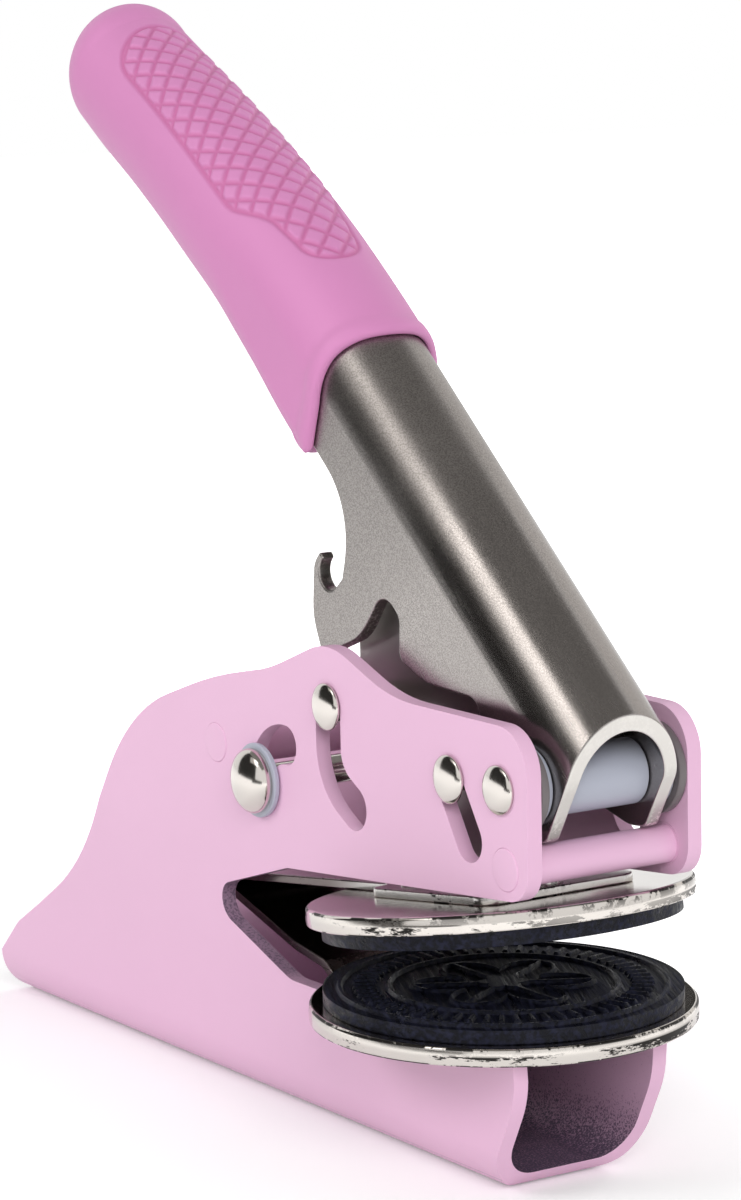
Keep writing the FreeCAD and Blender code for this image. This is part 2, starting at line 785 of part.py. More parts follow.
def arm_slot_ends():
    """Ends of the slot that the guide pin runs in, seen from the link pin."""
    reach = size("pivot_out") - size("link_back") + size("guide_back")
    rise = above_base("guide_rise") - above_base("pivot_rise") + size("link_drop")
    slide = size("arm_slot_width") * 0.84
    return (-reach * 1.003, rise * 0.94), (-reach * 1.003 + slide, rise * 0.82)


def make_arm():
    """Channel press arm: link lobe in front, slotted tail behind that rises inside the lever, foot below."""
    body = new_body("press_arm")
    link = size("arm_link_radius")
    tail = size("arm_tail_radius")
    horn = size("arm_horn_rise")
    rear, front = arm_slot_ends()
    foot_x = -size("foot_back") - size("pivot_out") + size("link_back")
    foot_z = above_base("foot_rise") - above_base("pivot_rise") + size("link_drop")
    foot = size("foot_radius")
    gauge = size("arm_gauge")
    outline = [
        (link, link, link * 0.95),
        (link, -link, link * 0.95),
        (foot_x + foot * 1.3, foot_z + foot * 1.2, foot),
        (foot_x + foot * 0.75, foot_z - foot * 0.62, foot * 0.75),
        (foot_x - foot * 0.75, foot_z - foot * 0.62, foot * 0.75),
        (foot_x - foot * 1.6, foot_z + foot * 1.3, foot),
        (rear[0] - tail, rear[1] - tail, tail * 0.95),
        (rear[0] - tail, rear[1] + horn, tail * 0.85),
        (front[0] + tail * 0.5, rear[1] + horn, tail),
    ]
    side = new_sketch(body, "XZ_Plane", "Side")
    add_outline(side, outline)
    pad(body, side, "2 * Sizes.arm_half_width")
    # The hollow leaves a web along the lower rear edge, between foot and tail.
    room = new_sketch(body, "XZ_Plane", "Foot_room")
    foot_at = ("-Sizes.foot_back - Sizes.pivot_out + Sizes.link_back",
               "Sizes.foot_rise - Sizes.pivot_rise + Sizes.link_drop")
    add_circle(room, *foot_at, "2 * (Sizes.foot_radius + Sizes.side_gap)")
    pocket(body, room, "2 * (Sizes.arm_half_width - Sizes.arm_gauge)")
    hollow = new_sketch(body, "XZ_Plane", "Hollow")
    add_outline(hollow, [
        (link * 2, link * 2, 0),
        (link * 2, foot_z - foot * 2, 0),
        (foot_x - foot * 0.75 + gauge, foot_z - foot * 2, 0),
        (foot_x - foot * 1.6 + gauge, foot_z + foot * 1.3 + gauge, foot * 0.6),
        (rear[0] - tail * 0.1, rear[1] - tail + gauge, 0),
        (rear[0] - tail * 2, rear[1] - tail + gauge, 0),
        (rear[0] - tail * 2, rear[1] + horn + link, 0),
        (link * 2, rear[1] + horn + link, 0),
    ])
    pocket(body, hollow, "2 * (Sizes.arm_half_width - Sizes.arm_gauge)")
    holes = new_sketch(body, "XZ_Plane", "Holes")
    add_circle(holes, "0", "0", "Sizes.link_pin_dia + 2 * Sizes.running_gap")
    add_circle(holes, *foot_at, "Sizes.foot_pin_dia + 2 * Sizes.seat_gap")
    add_outline(holes, stadium(rear, front, size("arm_slot_width") / 2))
    pocket(body, holes)
    place(body, *LINK_AT)
    return body


def make_foot():
    """Solid shoe between the cheeks, rounded where it presses the strap."""
    inside = size("arm_half_width") - size("arm_gauge") - size("seat_gap")
    at = ("-Sizes.foot_back", over_base("foot_rise"))
    bore = size("foot_pin_dia") / 2 + size("seat_gap")
    make_ring("press_foot", bore, size("foot_radius"), -inside, inside, *at)
    end = size("arm_half_width")
    pin = revolve("foot_pin", [(0, -end, 0), (size("foot_pin_dia") / 2, -end, 0),
                               (size("foot_pin_dia") / 2, end, 0), (0, end, 0)])
    place(pin, *at)


# Hairpin insert


def make_disc(label, diameter, thickness, height, tilted):
    """A round plate or die, and its place when the dies are shut."""
    disc = doc.addObject("Part::Cylinder", "Body_" + label)
    disc.Label = label
    disc.setExpression("Radius", diameter + " / 2")
    disc.setExpression("Height", thickness)
    PARTS.append(disc)
    if tilted:
        lift_with_strap(disc, height)
    else:
        disc.setExpression("Placement.Base.z", height)
    return disc


def lift_with_strap(item, height):
    """Place an item of the upper leaf: shut height, then swung open about the strap's bend."""
    angle = "Sizes.strap_open_angle"
    hinge_back, hinge_up = "Sizes.strap_hinge_back", over_base("strap_hinge_rise")
    above = f"({height} - {hinge_up})"
    item.Placement = Placement(Vector(), Rotation(-ACROSS, size("strap_open_angle")))
    item.setExpression("Placement.Rotation.Angle", angle)
    item.setExpression("Placement.Base.x",
                       f"{hinge_back} * (cos({angle}) - 1) - {above} * sin({angle})")
    item.setExpression("Placement.Base.z",
                       f"{hinge_up} + {hinge_back} * sin({angle}) + {above} * cos({angle})")


LOWER_PLATE = over_base("running_gap")
LOWER_DIE = f"({LOWER_PLATE} + Sizes.plate_gauge)"
UPPER_DIE = f"({LOWER_DIE} + Sizes.die_gauge + Sizes.die_gap_closed)"
UPPER_PLATE = f"({UPPER_DIE} + Sizes.die_gauge)"
UPPER_STRAP = f"({UPPER_PLATE} + Sizes.plate_gauge)"


def strap_levels():
    """Height of the lower plate's underside and of the shut upper strap's underside."""
    low = size("base_height") + size("running_gap")
    high = low + 2 * size("plate_gauge") + 2 * size("die_gauge") + size("die_gap_closed")
    return low, high


def make_upper_strap():
    """Upper leaf, drawn flat as if shut: a narrow tail, a shoulder and a wide front."""
    body = new_body("upper_strap")
    sketch = new_sketch(body, "XY_Plane", "Plan")
    narrow, wide = size("strap_half_width"), size("strap_front_half_width")
    rear = -size("strap_bend_back")
    shoulder = -size("strap_shoulder_back")
    front = size("strap_front_reach")
    half = [(rear, narrow, 0), (shoulder, narrow, narrow * 0.2), (shoulder, wide, narrow * 0.2),
            (front, wide, narrow * 0.35)]
    add_outline(sketch, half + [(x, -y, radius) for x, y, radius in reversed(half)])
    pad_along(body, sketch, "Sizes.strap_gauge")
    lift_with_strap(body, UPPER_STRAP)
    return body


def make_lower_strap():
    """Lower leaf: the hairpin bend, a sloping run inside the frame and a flat under the plate."""
    body = new_body("lower_strap")
    gauge = size("strap_gauge")
    low, high = strap_levels()
    turn = math.radians(size("strap_open_angle"))
    hinge_x, hinge_z = -size("strap_hinge_back"), above_base("strap_hinge_rise")

    def opened(x, z):
        """A point of the shut upper leaf, swung open about the hinge."""
        away_x, away_z = x - hinge_x, z - hinge_z
        return (hinge_x + away_x * math.cos(turn) - away_z * math.sin(turn),
                hinge_z + away_x * math.sin(turn) + away_z * math.cos(turn))

    gap = size("side_gap")
    root = -size("strap_bend_back") - gap
    radius = size("strap_bend_radius")
    inner = radius
    outer = radius + gauge
    top_low = opened(root, high)
    top_high = opened(root, high + gauge)
    plate = size("plate_dia") / 2
    knee = (-plate - size("strap_knee_clear"), above_base("strap_knee_rise"))
    dip = (-plate - size("strap_dip_clear"), above_base("strap_dip_rise"))
    heel = (-plate - size("strap_heel_clear"), low - gauge)
    reach = size("lower_strap_reach")
    # The bend: its tangents run back from the upper leaf's root and from the knee.
    way = Vector(-math.cos(turn), -math.sin(turn), 0)
    back = outer * 1.75
    corner_high = (top_high[0] + way.x * back, top_high[1] + way.y * back)
    slope = math.atan2(top_low[1] - 2 * radius - knee[1], knee[0] - root)
    fall = Vector(math.cos(slope), -math.sin(slope), 0)
    start = Vector(knee[0], knee[1], 0) - fall * ((knee[0] - corner_high[0]) / fall.x)
    normal = Vector(-fall.y, fall.x, 0)
    corner_low = (start.x, start.y)
    inner_high = (top_low[0] + way.x * (back - gauge), top_low[1] + way.y * (back - gauge))
    inner_start = Vector(inner_high[0], 0, 0)
    inner_fall = math.tan(slope) * (inner_start.x - corner_low[0])
    inner_low = (inner_start.x, corner_low[1] + gauge / math.cos(slope) - inner_fall)
    outline = [
        (*top_high, 0),
        (*corner_high, outer * 0.95),
        (*corner_low, outer * 0.95),
        (*knee, outer * 4),
        (*dip, outer),
        (*heel, outer),
        (reach, low - gauge, 0),
        (reach, low, 0),
        (heel[0] + gauge * 0.55, low, inner),
        (dip[0] + gauge * 0.55, dip[1] + gauge, outer),
        (knee[0], knee[1] + gauge * 1.01, outer * 4),
        (*inner_low, inner * 0.95),
        (*inner_high, inner * 0.95),
        (*top_low, 0),
    ]
    sketch = new_sketch(body, "XZ_Plane", "Side")
    add_outline(sketch, outline)
    pad(body, sketch, "2 * Sizes.strap_half_width")
    return body


def rivet_places():
    back, side, front = size("strap_rivet_back"), size("strap_rivet_side"), size("strap_rivet_front")
    return [(-back, -side), (-back, side), (front, 0.0)]


def make_rivets(label, height, tilted):
    """Low heads of the rivets that hold a strap to its plate, one solid each."""
    group = doc.addObject("Part::Feature", "Body_" + label)
    group.Label = label
    radius, tall = size("strap_rivet_dia") / 2, size("strap_rivet_height")
    heads = []
    for x, y in rivet_places():
        head = Part.makeCylinder(radius, tall, Vector(x, y, 0), UP)
        top_edge = [edge for edge in head.Edges if edge.BoundBox.ZMin > tall / 2]
        heads.append(head.makeFillet(tall * 0.7, top_edge))
    group.Shape = Part.makeCompound(heads)
    PARTS.append(group)
    if tilted:
        lift_with_strap(group, height)
    else:
        group.Placement = Placement(Vector(0, 0, 0), Rotation(Vector(1, 0, 0), 180))
        group.setExpression("Placement.Base.z", height)
    return group


def make_insert():
    make_disc("lower_plate", "Sizes.plate_dia", "Sizes.plate_gauge", LOWER_PLATE, False)
    make_disc("lower_die", "Sizes.die_dia", "Sizes.die_gauge", LOWER_DIE, False)
    make_disc("upper_die", "Sizes.die_dia", "Sizes.die_gauge", UPPER_DIE, True)
    make_disc("upper_plate", "Sizes.plate_dia", "Sizes.plate_gauge", UPPER_PLATE, True)
    make_upper_strap()
    make_lower_strap()
    make_rivets("upper_rivets", f"({UPPER_STRAP} + Sizes.strap_gauge)", True)
    make_rivets("lower_rivets", f"({LOWER_PLATE} - Sizes.strap_gauge)", False)


def check_and_export():
    """Stop on any failed object or bad shape, then write one file for each sub-part."""
    for item in doc.Objects:
        if "Invalid" in item.State or "Error" in item.State:
            raise RuntimeError(f"{item.Name} failed: {item.State}")
    for item in PARTS:
        if item.Shape.isNull() or not item.Shape.isValid():
            raise RuntimeError(f"{item.Label} has no valid shape")
    os.makedirs("parts", exist_ok=True)
    for item in PARTS:
        item.Shape.exportStep(f"parts/{item.Label}.step")
        print(item.Label, len(item.Shape.Solids), round(item.Shape.Volume, 1), item.Shape.BoundBox)


make_frame()
make_spacer("front_spacer_rod", "front_rod_dia", *FRONT_ROD_AT)
make_spacer("rear_spacer", "rear_spacer_dia", *REAR_SPACER_AT)
make_pivot_pieces()
make_moving_pins()
make_lever()
make_grip()
make_arm()
make_foot()
make_insert()
doc.recompute()
check_and_export()
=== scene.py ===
"""Hand seal embosser: the dressed surfaces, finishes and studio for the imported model.

Metres, in the model's own frame: +X out of the jaw, +Z up, the visible wall on the -Y side.
"""

import json
import math

import bmesh
import bpy
import numpy as np
from bpy.props import FloatProperty, FloatVectorProperty, PointerProperty
from mathutils import Matrix, Vector


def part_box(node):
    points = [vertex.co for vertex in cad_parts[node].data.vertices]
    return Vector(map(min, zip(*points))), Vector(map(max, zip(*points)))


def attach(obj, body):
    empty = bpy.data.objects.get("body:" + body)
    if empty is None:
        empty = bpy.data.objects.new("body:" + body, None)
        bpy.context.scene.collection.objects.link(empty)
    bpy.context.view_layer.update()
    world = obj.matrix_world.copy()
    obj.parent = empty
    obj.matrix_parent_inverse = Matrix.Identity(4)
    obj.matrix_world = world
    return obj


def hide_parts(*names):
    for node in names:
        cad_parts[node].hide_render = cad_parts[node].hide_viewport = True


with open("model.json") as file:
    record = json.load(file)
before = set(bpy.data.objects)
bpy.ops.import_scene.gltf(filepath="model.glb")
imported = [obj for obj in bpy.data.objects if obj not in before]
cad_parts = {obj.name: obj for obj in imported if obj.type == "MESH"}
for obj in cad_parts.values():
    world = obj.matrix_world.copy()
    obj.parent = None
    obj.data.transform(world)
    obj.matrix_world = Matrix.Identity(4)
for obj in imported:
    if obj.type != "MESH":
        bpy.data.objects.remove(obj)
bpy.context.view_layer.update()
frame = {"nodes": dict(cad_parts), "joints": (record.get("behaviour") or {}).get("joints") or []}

bl_info = {
    "name": "Seal embosser",
    "version": (1, 0, 0),
    "blender": (4, 5, 0),
    "location": "View3D > Sidebar > Embosser",
    "description": "Surfaces, finishes and studio of a hand seal embosser",
    "category": "Add Mesh",
}

MM = 0.001
GRID_MERGE = 1e-7
SOLID_MERGE = 2e-6
JOINTS = {joint["name"]: joint for joint in frame["joints"]}
LEVER_SLOPE = math.radians(40.6)
LEVER_AHEAD = Vector((math.cos(LEVER_SLOPE), 0.0, -math.sin(LEVER_SLOPE)))
LEVER_UP = Vector((math.sin(LEVER_SLOPE), 0.0, math.cos(LEVER_SLOPE)))
PIVOT = Vector(JOINTS["lever_hinge"]["pos_m"])
LEAF_HINGE = Vector(JOINTS["upper_die_swing"]["pos_m"])
LEAF_OPEN = math.radians(JOINTS["upper_die_swing"]["range_deg"][1])


def length(name, description, millimetres):
    """A length property, given in millimetres."""
    return FloatProperty(name=name, description=description, default=millimetres * MM, unit="LENGTH")


def tint(name, description, colour):
    """A colour property, linear."""
    return FloatVectorProperty(name=name, description=description, subtype="COLOR", default=colour)


class EmbosserSizes(bpy.types.PropertyGroup):
    """Sizes that the solids leave to the dressed surfaces."""

    paint_round: length("Painted edge", "Rounding of the painted sheet's edges", 0.45)
    sheet_round: length("Plated edge", "Rounding of the plated lever's edges", 0.3)
    arm_round: length("Arm edge", "Rounding of the press arm's edges", 0.2)
    strap_round: length("Strap edge", "Rounding of the spring strap's edges", 0.22)
    rim_round: length("Plate rim", "Rounding of the round plates' rims", 0.5)
    relief: length("Relief", "Height of the raised lines on a die", 0.5)
    knurl_pitch: length("Grip pitch", "Spacing of the grooves along the grip", 3.93)
    knurl_depth: length("Groove depth", "Depth of the grooves in the grip", 0.30)
    lip_height: length("Lip", "Height of the bead round the grip's mouth", 0.3375)


class EmbosserColours(bpy.types.PropertyGroup):
    """Colours of the finishes, linear."""

    paint: tint("Paint", "Pale pink enamel", (0.815, 0.503, 0.694))
    # part real speckled overspray, part painted shade inside the channel
    spray_and_shade: tint("Inside spray", "Dark speckled spray inside the frame", (0.050, 0.040, 0.075))
    grip: tint("Grip", "Soft pink moulding", (0.640, 0.248, 0.490))
    # painted shade: the darker pink stands for the shade in the grooves
    groove: tint("Grip grooves", "Pink in the bottom of the grooves", (0.560, 0.165, 0.365))
    lever: tint("Lever", "Darker nickel plate of the lever", (0.36, 0.335, 0.320))
    cut: tint("Cut metal", "Bare metal where the lever was sawn", (0.70, 0.675, 0.64))
    torn: tint("Torn metal", "Torn spots in the sawn metal", (0.36, 0.34, 0.32))
    nickel: tint("Nickel", "Warm nickel plate", (0.66, 0.62, 0.58))
    steel: tint("Steel", "Rolled spring steel", (0.62, 0.60, 0.58))
    # painted shade of the strap deep in the mouth
    painted_mouth_shade: tint("Oiled steel", "Oily strap in the depth of the mouth", (0.110, 0.082, 0.080))
    dull_steel: tint("Dull steel", "Plated steel in the mechanism", (0.34, 0.32, 0.31))
    sleeve: tint("Sleeve", "Bluish grey plastic", (0.42, 0.44, 0.52))
    washer: tint("Washer", "Grey plastic", (0.16, 0.14, 0.145))
    die: tint("Die", "Near-black die plastic", (0.0052, 0.0056, 0.0110))


def sizes():
    return bpy.context.scene.embosser_sizes


def colours():
    return bpy.context.scene.embosser_colours


# Mesh building


def placed_object(name, data):
    """A new object of that data, linked into the scene."""
    holder = bpy.data.objects.new(name, data)
    bpy.context.scene.collection.objects.link(holder)
    return holder


def grid_faces(rows, columns, round_columns=True, round_rows=False):
    """Quads of a rows by columns grid of points, joined round the columns or rows on request."""
    row = np.arange(rows if round_rows else rows - 1)
    column = np.arange(columns if round_columns else columns - 1)
    a, b = np.meshgrid(row, column, indexing="ij")
    a_next, b_next = (a + 1) % rows, (b + 1) % columns
    corners = (a * columns + b, a * columns + b_next, a_next * columns + b_next, a_next * columns + b)
    return np.stack([c.ravel() for c in corners], axis=1)


def piece_from(name, points, faces, material, sharp=35.0, masks=None):
    """A piece from an array of points and quads, its doubles merged and its faces turned outwards."""
    mesh = bpy.data.meshes.new(name)
    mesh.from_pydata(points.reshape(-1, 3).tolist(), [], faces.tolist())
    for label, values in (masks or {}).items():
        layer = mesh.attributes.new(label, "FLOAT", "POINT")
        layer.data.foreach_set("value", values.astype(np.float32).ravel())
    shell = bmesh.new()
    shell.from_mesh(mesh)
    bmesh.ops.remove_doubles(shell, verts=shell.verts, dist=GRID_MERGE)
    bmesh.ops.dissolve_degenerate(shell, edges=shell.edges, dist=GRID_MERGE / 10)
    bmesh.ops.recalc_face_normals(shell, faces=shell.faces)
    shell.to_mesh(mesh)
    shell.free()
    mesh.shade_smooth()
    mesh.set_sharp_from_angle(angle=math.radians(sharp))
    mesh.materials.append(material)
    piece = placed_object(name, mesh)
    even = piece.modifiers.new("Even shading", "WEIGHTED_NORMAL")
    even.keep_sharp = True
    return piece


def settle(piece, body, slot, *nodes):
    """Let a finished piece ride on its body and stand for its nodes. The slot is not used."""
    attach(piece, body)
    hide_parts(*nodes)
    return piece


def rounded_profile(corners, steps=5):
    """Points of a profile with its corners rounded: each corner is (radius, along, fillet).

    A fillet of size f at a corner of half angle h is an arc of radius f that touches both
    sides at f / tan(h) from the corner.
    """
    spots = np.array([corner[:2] for corner in corners], float)
    parts = []
    for i, (radius, along, fillet) in enumerate(corners):
        spot = spots[i]
        if fillet == 0:
            parts.append(spot[None, :])
            continue
        into = spots[i - 1] - spot
        out = spots[(i + 1) % len(spots)] - spot
        into /= np.linalg.norm(into)
        out /= np.linalg.norm(out)
        half = math.acos(np.clip(into @ out, -1, 1)) / 2
        run = fillet / math.tan(half)
        middle = spot + (into + out) / np.linalg.norm(into + out) * fillet / math.sin(half)
        start = np.arctan2(*(spot + into * run - middle)[::-1])
        end = np.arctan2(*(spot + out * run - middle)[::-1])
        sweep = (end - start + math.pi) % (2 * math.pi) - math.pi
        angle = start + sweep * np.linspace(0, 1, steps + 1)
        parts.append(middle + fillet * np.column_stack([np.cos(angle), np.sin(angle)]))
    return np.vstack(parts)


def across(centre):
    """Matrix that lays a turned piece's axis along Y at a point of the side view."""
    return Matrix.Translation(Vector((centre.x, 0, centre.z))) @ Matrix.Rotation(math.radians(-90), 4, "X")


def leaf_matrix():
    """Matrix that swings the upper leaf, drawn shut, to where it stands at rest."""
    to_hinge = Matrix.Translation(LEAF_HINGE)
    return to_hinge @ Matrix.Rotation(-LEAF_OPEN, 4, "Y") @ to_hinge.inverted()


def lathe(profile, angle):
    """Rows of points round an axis: P(u, v) = (r(u) cos v, r(u) sin v, a(u)) for a profile (r, a)."""
    radius, along = profile[:, 0:1], profile[:, 1:2]
    return np.stack([radius * np.cos(angle), radius * np.sin(angle), along + 0 * angle], axis=-1)


def carried(points, matrix):
    """Points moved by a matrix."""
    place = np.array(matrix)
    return points @ place[:3, :3].T + place[:3, 3]


def turned(name, profile, matrix, material, closed=False, segments=128, sharp=35.0):
    """A piece turned on a lathe, then placed by a matrix."""
    points = lathe(profile, np.linspace(0, 2 * math.pi, segments, endpoint=False))
    faces = grid_faces(len(profile), segments, round_rows=closed)
    return piece_from(name, carried(points, matrix), faces, material, sharp)


def turned_node(node, profile, matrix, material, body, slot, **how):
    """A turned piece that stands for a node."""
    return settle(turned(node + "_turned", profile, matrix, finish(material), **how), body, slot, node)


def rounded_copy(name, node, width, material):
    """A copy of a node's solid with its sharp edges rounded to a width."""
    turn, flat = math.radians(25.0), math.radians(0.6)
    mesh = frame["nodes"][node].data.copy()
    mesh.name = name
    shell = bmesh.new()
    shell.from_mesh(mesh)
    bmesh.ops.remove_doubles(shell, verts=shell.verts, dist=SOLID_MERGE)
    bmesh.ops.dissolve_limit(shell, angle_limit=flat, verts=shell.verts, edges=shell.edges, delimit={"NORMAL"})
    shell.to_mesh(mesh)
    shell.free()
    mesh.shade_smooth()
    mesh.materials.clear()
    mesh.materials.append(material)
    piece = placed_object(name, mesh)
    edge = piece.modifiers.new("Rounded edges", "BEVEL")
    edge.width = width
    edge.segments = 3
    edge.limit_method = "ANGLE"
    edge.angle_limit = turn
    edge.use_clamp_overlap = True
    edge.harden_normals = False
    even = piece.modifiers.new("Even shading", "WEIGHTED_NORMAL")
    even.keep_sharp = False
    return piece


# Finishes


class Nodes:
    """Short hand for placing and joining the nodes of one tree."""

    def __init__(self, tree):
        self.tree = tree

    def new(self, kind):
        return self.tree.nodes.new(kind)

    def feed(self, node, label, value):
        """Join a socket to the input of that name or number, or write a plain value into it."""
        socket = node.inputs[label]
        if isinstance(value, bpy.types.NodeSocket):
            self.tree.links.new(value, socket)
        else:
            socket.default_value = value

    def math(self, operation, first, second=0.5, clamp=False):
        node = self.new("ShaderNodeMath")
        node.operation = operation
        node.use_clamp = clamp
        self.feed(node, 0, first)
        self.feed(node, 1, second)
        return node.outputs[0]

    def plus(self, first, second):
        return self.math("ADD", first, second)

    def minus(self, first, second):
        return self.math("SUBTRACT", first, second)

    def times(self, first, second, clamp=False):
        return self.math("MULTIPLY", first, second, clamp)

    def larger(self, first, second):
        return self.math("MAXIMUM", first, second)

    def magnitude(self, value):
        return self.math("ABSOLUTE", value)

    def dot(self, first, second):
        """Dot product of two vectors."""
        node = self.new("ShaderNodeVectorMath")
        node.operation = "DOT_PRODUCT"
        self.feed(node, 0, first)
        self.feed(node, 1, second)
        return node.outputs["Value"]

    def mix(self, factor, first, second, blend="MIX"):
        """Blend of two colours by a factor."""
        node = self.new("ShaderNodeMix")
        node.data_type = "RGBA"
        node.blend_type = blend
        self.feed(node, 0, factor)
        self.feed(node, 6, first)
        self.feed(node, 7, second)
        return node.outputs[2]

    def spread(self, value, low, high, out_low=0.0, out_high=1.0, smooth=False):
        """A value carried from one range to another, held at both ends."""
        node = self.new("ShaderNodeMapRange")
        node.interpolation_type = "SMOOTHSTEP" if smooth else "LINEAR"
        for index, item in enumerate((value, low, high, out_low, out_high)):
            self.feed(node, index, item)
        return node.outputs[0]

    def noise(self, vector, scale, detail=3.0, roughness=0.55):
        node = self.new("ShaderNodeTexNoise")
        self.feed(node, "Vector", vector)
        self.feed(node, "Scale", scale)
        self.feed(node, "Detail", detail)
        self.feed(node, "Roughness", roughness)
        return node.outputs["Fac"]

    def stretch(self, vector, scale, turn=(0.0, 0.0, 0.0)):
        """The vector turned and stretched, to lay a pattern along a piece."""
        node = self.new("ShaderNodeMapping")
        node.vector_type = "TEXTURE"
        self.feed(node, "Vector", vector)
        self.feed(node, "Rotation", turn)
        self.feed(node, "Scale", scale)
        return node.outputs["Vector"]

    def object_place(self):
        return self.new("ShaderNodeTexCoord").outputs["Object"]

    def object_normal(self):
        return self.new("ShaderNodeTexCoord").outputs["Normal"]

    def split(self, vector):
        """The three parts of a vector."""
        node = self.new("ShaderNodeSeparateXYZ")
        self.feed(node, 0, vector)
        return node.outputs


def rgba(colour, scale=1.0):
    return (colour[0] * scale, colour[1] * scale, colour[2] * scale, 1.0)


def new_group(name, floats, outputs):
    """An empty shader group: a vector and named floats with their defaults in, floats out."""
    group = bpy.data.node_groups.new(name, "ShaderNodeTree")
    group.interface.new_socket(name="Vector", in_out="INPUT", socket_type="NodeSocketVector")
    for label, default in floats.items():
        socket = group.interface.new_socket(name=label, in_out="INPUT", socket_type="NodeSocketFloat")
        socket.default_value = default
    for label in outputs:
        group.interface.new_socket(name=label, in_out="OUTPUT", socket_type="NodeSocketFloat")
    return Nodes(group), group.nodes.new("NodeGroupInput").outputs, group.nodes.new("NodeGroupOutput")


def speckle_group(name):
    """Dark flecks: fine noise cut at a level that a broad noise raises and lowers."""
    nodes, given, out = new_group(name, {"Scale": 900.0, "Amount": 0.4, "Patchiness": 0.3}, ("Mask",))
    fine = nodes.noise(given["Vector"], given["Scale"], detail=4.0, roughness=0.7)
    patch = nodes.noise(given["Vector"], nodes.times(given["Scale"], 0.12), detail=2.0)
    lift = nodes.times(nodes.minus(patch, 0.5), given["Patchiness"])
    level = nodes.minus(1.0, given["Amount"])
    nodes.feed(out, "Mask", nodes.spread(nodes.minus(nodes.plus(fine, lift), level), -0.02, 0.06))
    return nodes.tree


def grain_group(name):
    """Fine skin of a painted or moulded surface, with a slow drift of shade and gloss."""
    nodes, given, out = new_group(name, {"Scale": 1500.0, "Drift": 0.05}, ("Shade", "Gloss", "Height"))
    fine = nodes.noise(given["Vector"], given["Scale"], detail=2.0)
    slow = nodes.noise(given["Vector"], nodes.times(given["Scale"], 0.03), detail=3.0)
    nodes.feed(out, "Shade", nodes.plus(1.0, nodes.times(nodes.minus(slow, 0.5), given["Drift"])))
    nodes.feed(out, "Gloss", nodes.times(nodes.minus(fine, 0.5), given["Drift"]))
    nodes.feed(out, "Height", fine)
    return nodes.tree


def streak_group(name):
    """Rolling or brushing marks: noise drawn out along one way of a stretched vector."""
    nodes, given, out = new_group(name, {"Scale": 600.0, "Strength": 0.3}, ("Shade", "Gloss", "Height"))
    fine = nodes.noise(given["Vector"], given["Scale"], detail=4.0, roughness=0.6)
    broad = nodes.noise(given["Vector"], nodes.times(given["Scale"], 0.2), detail=2.0)
    both = nodes.minus(nodes.times(nodes.plus(fine, broad), 0.5), 0.5)
    swing = nodes.times(both, given["Strength"])
    nodes.feed(out, "Shade", nodes.plus(1.0, swing))
    nodes.feed(out, "Gloss", swing)
    nodes.feed(out, "Height", fine)
    return nodes.tree


def edge_group(name):
    """How near a point lies to a rounded edge: the bevelled normal set against the true one."""
    nodes, given, out = new_group(name, {"Breakup": 700.0}, ("Mask",))
    bevel = nodes.new("ShaderNodeBevel")
    bevel.samples = 4
    nodes.feed(bevel, "Radius", 0.6 * MM)
    geometry = nodes.new("ShaderNodeNewGeometry")
    near = nodes.spread(nodes.dot(bevel.outputs["Normal"], geometry.outputs["Normal"]), 0.98, 0.80)
    broken = nodes.spread(nodes.noise(given["Vector"], given["Breakup"], detail=4.0), 0.35, 0.65)
    nodes.feed(out, "Mask", nodes.times(near, broken))
    return nodes.tree


GROUP_MAKERS = {"Speckle": speckle_group, "Skin grain": grain_group, "Drawn streaks": streak_group,
                "Edge wear": edge_group}


def use_group(nodes, name, **inputs):
    """A shared effect placed in a material, with the material's own values."""
    node = nodes.new("ShaderNodeGroup")
    node.node_tree = bpy.data.node_groups.get(name) or GROUP_MAKERS[name](name)
    for label, value in inputs.items():
        nodes.feed(node, label, value)
    return node.outputs


def new_finish(name):
    """A material with an empty Principled shader: (material, nodes, object place)."""
    material = bpy.data.materials.new(name)
    material.use_nodes = True
    nodes = Nodes(material.node_tree)
    return material, nodes, nodes.object_place()


def dressed(material, nodes, colour, roughness, height, distance, strength=1.0, **plain):
    """The material with its shader fed: colour, roughness, a bump from a height, and plain values."""
    shader = nodes.tree.nodes["Principled BSDF"]
    nodes.feed(shader, "Base Color", colour)
    nodes.feed(shader, "Roughness", roughness)
    bump = nodes.new("ShaderNodeBump")
    nodes.feed(bump, "Strength", strength)
    nodes.feed(bump, "Distance", distance)
    nodes.feed(bump, "Height", height)
    nodes.feed(shader, "Normal", bump.outputs["Normal"])
    for label, value in plain.items():
        nodes.feed(shader, label.replace("_", " "), value)
    return material


def grained(nodes, place, colour, scale, drift):
    """A colour under the skin grain, and the grain's gloss and height."""
    skin = use_group(nodes, "Skin grain", Vector=place, Scale=scale, Drift=drift)
    return nodes.mix(1.0, colour, skin["Shade"], blend="MULTIPLY"), skin["Gloss"], skin["Height"]


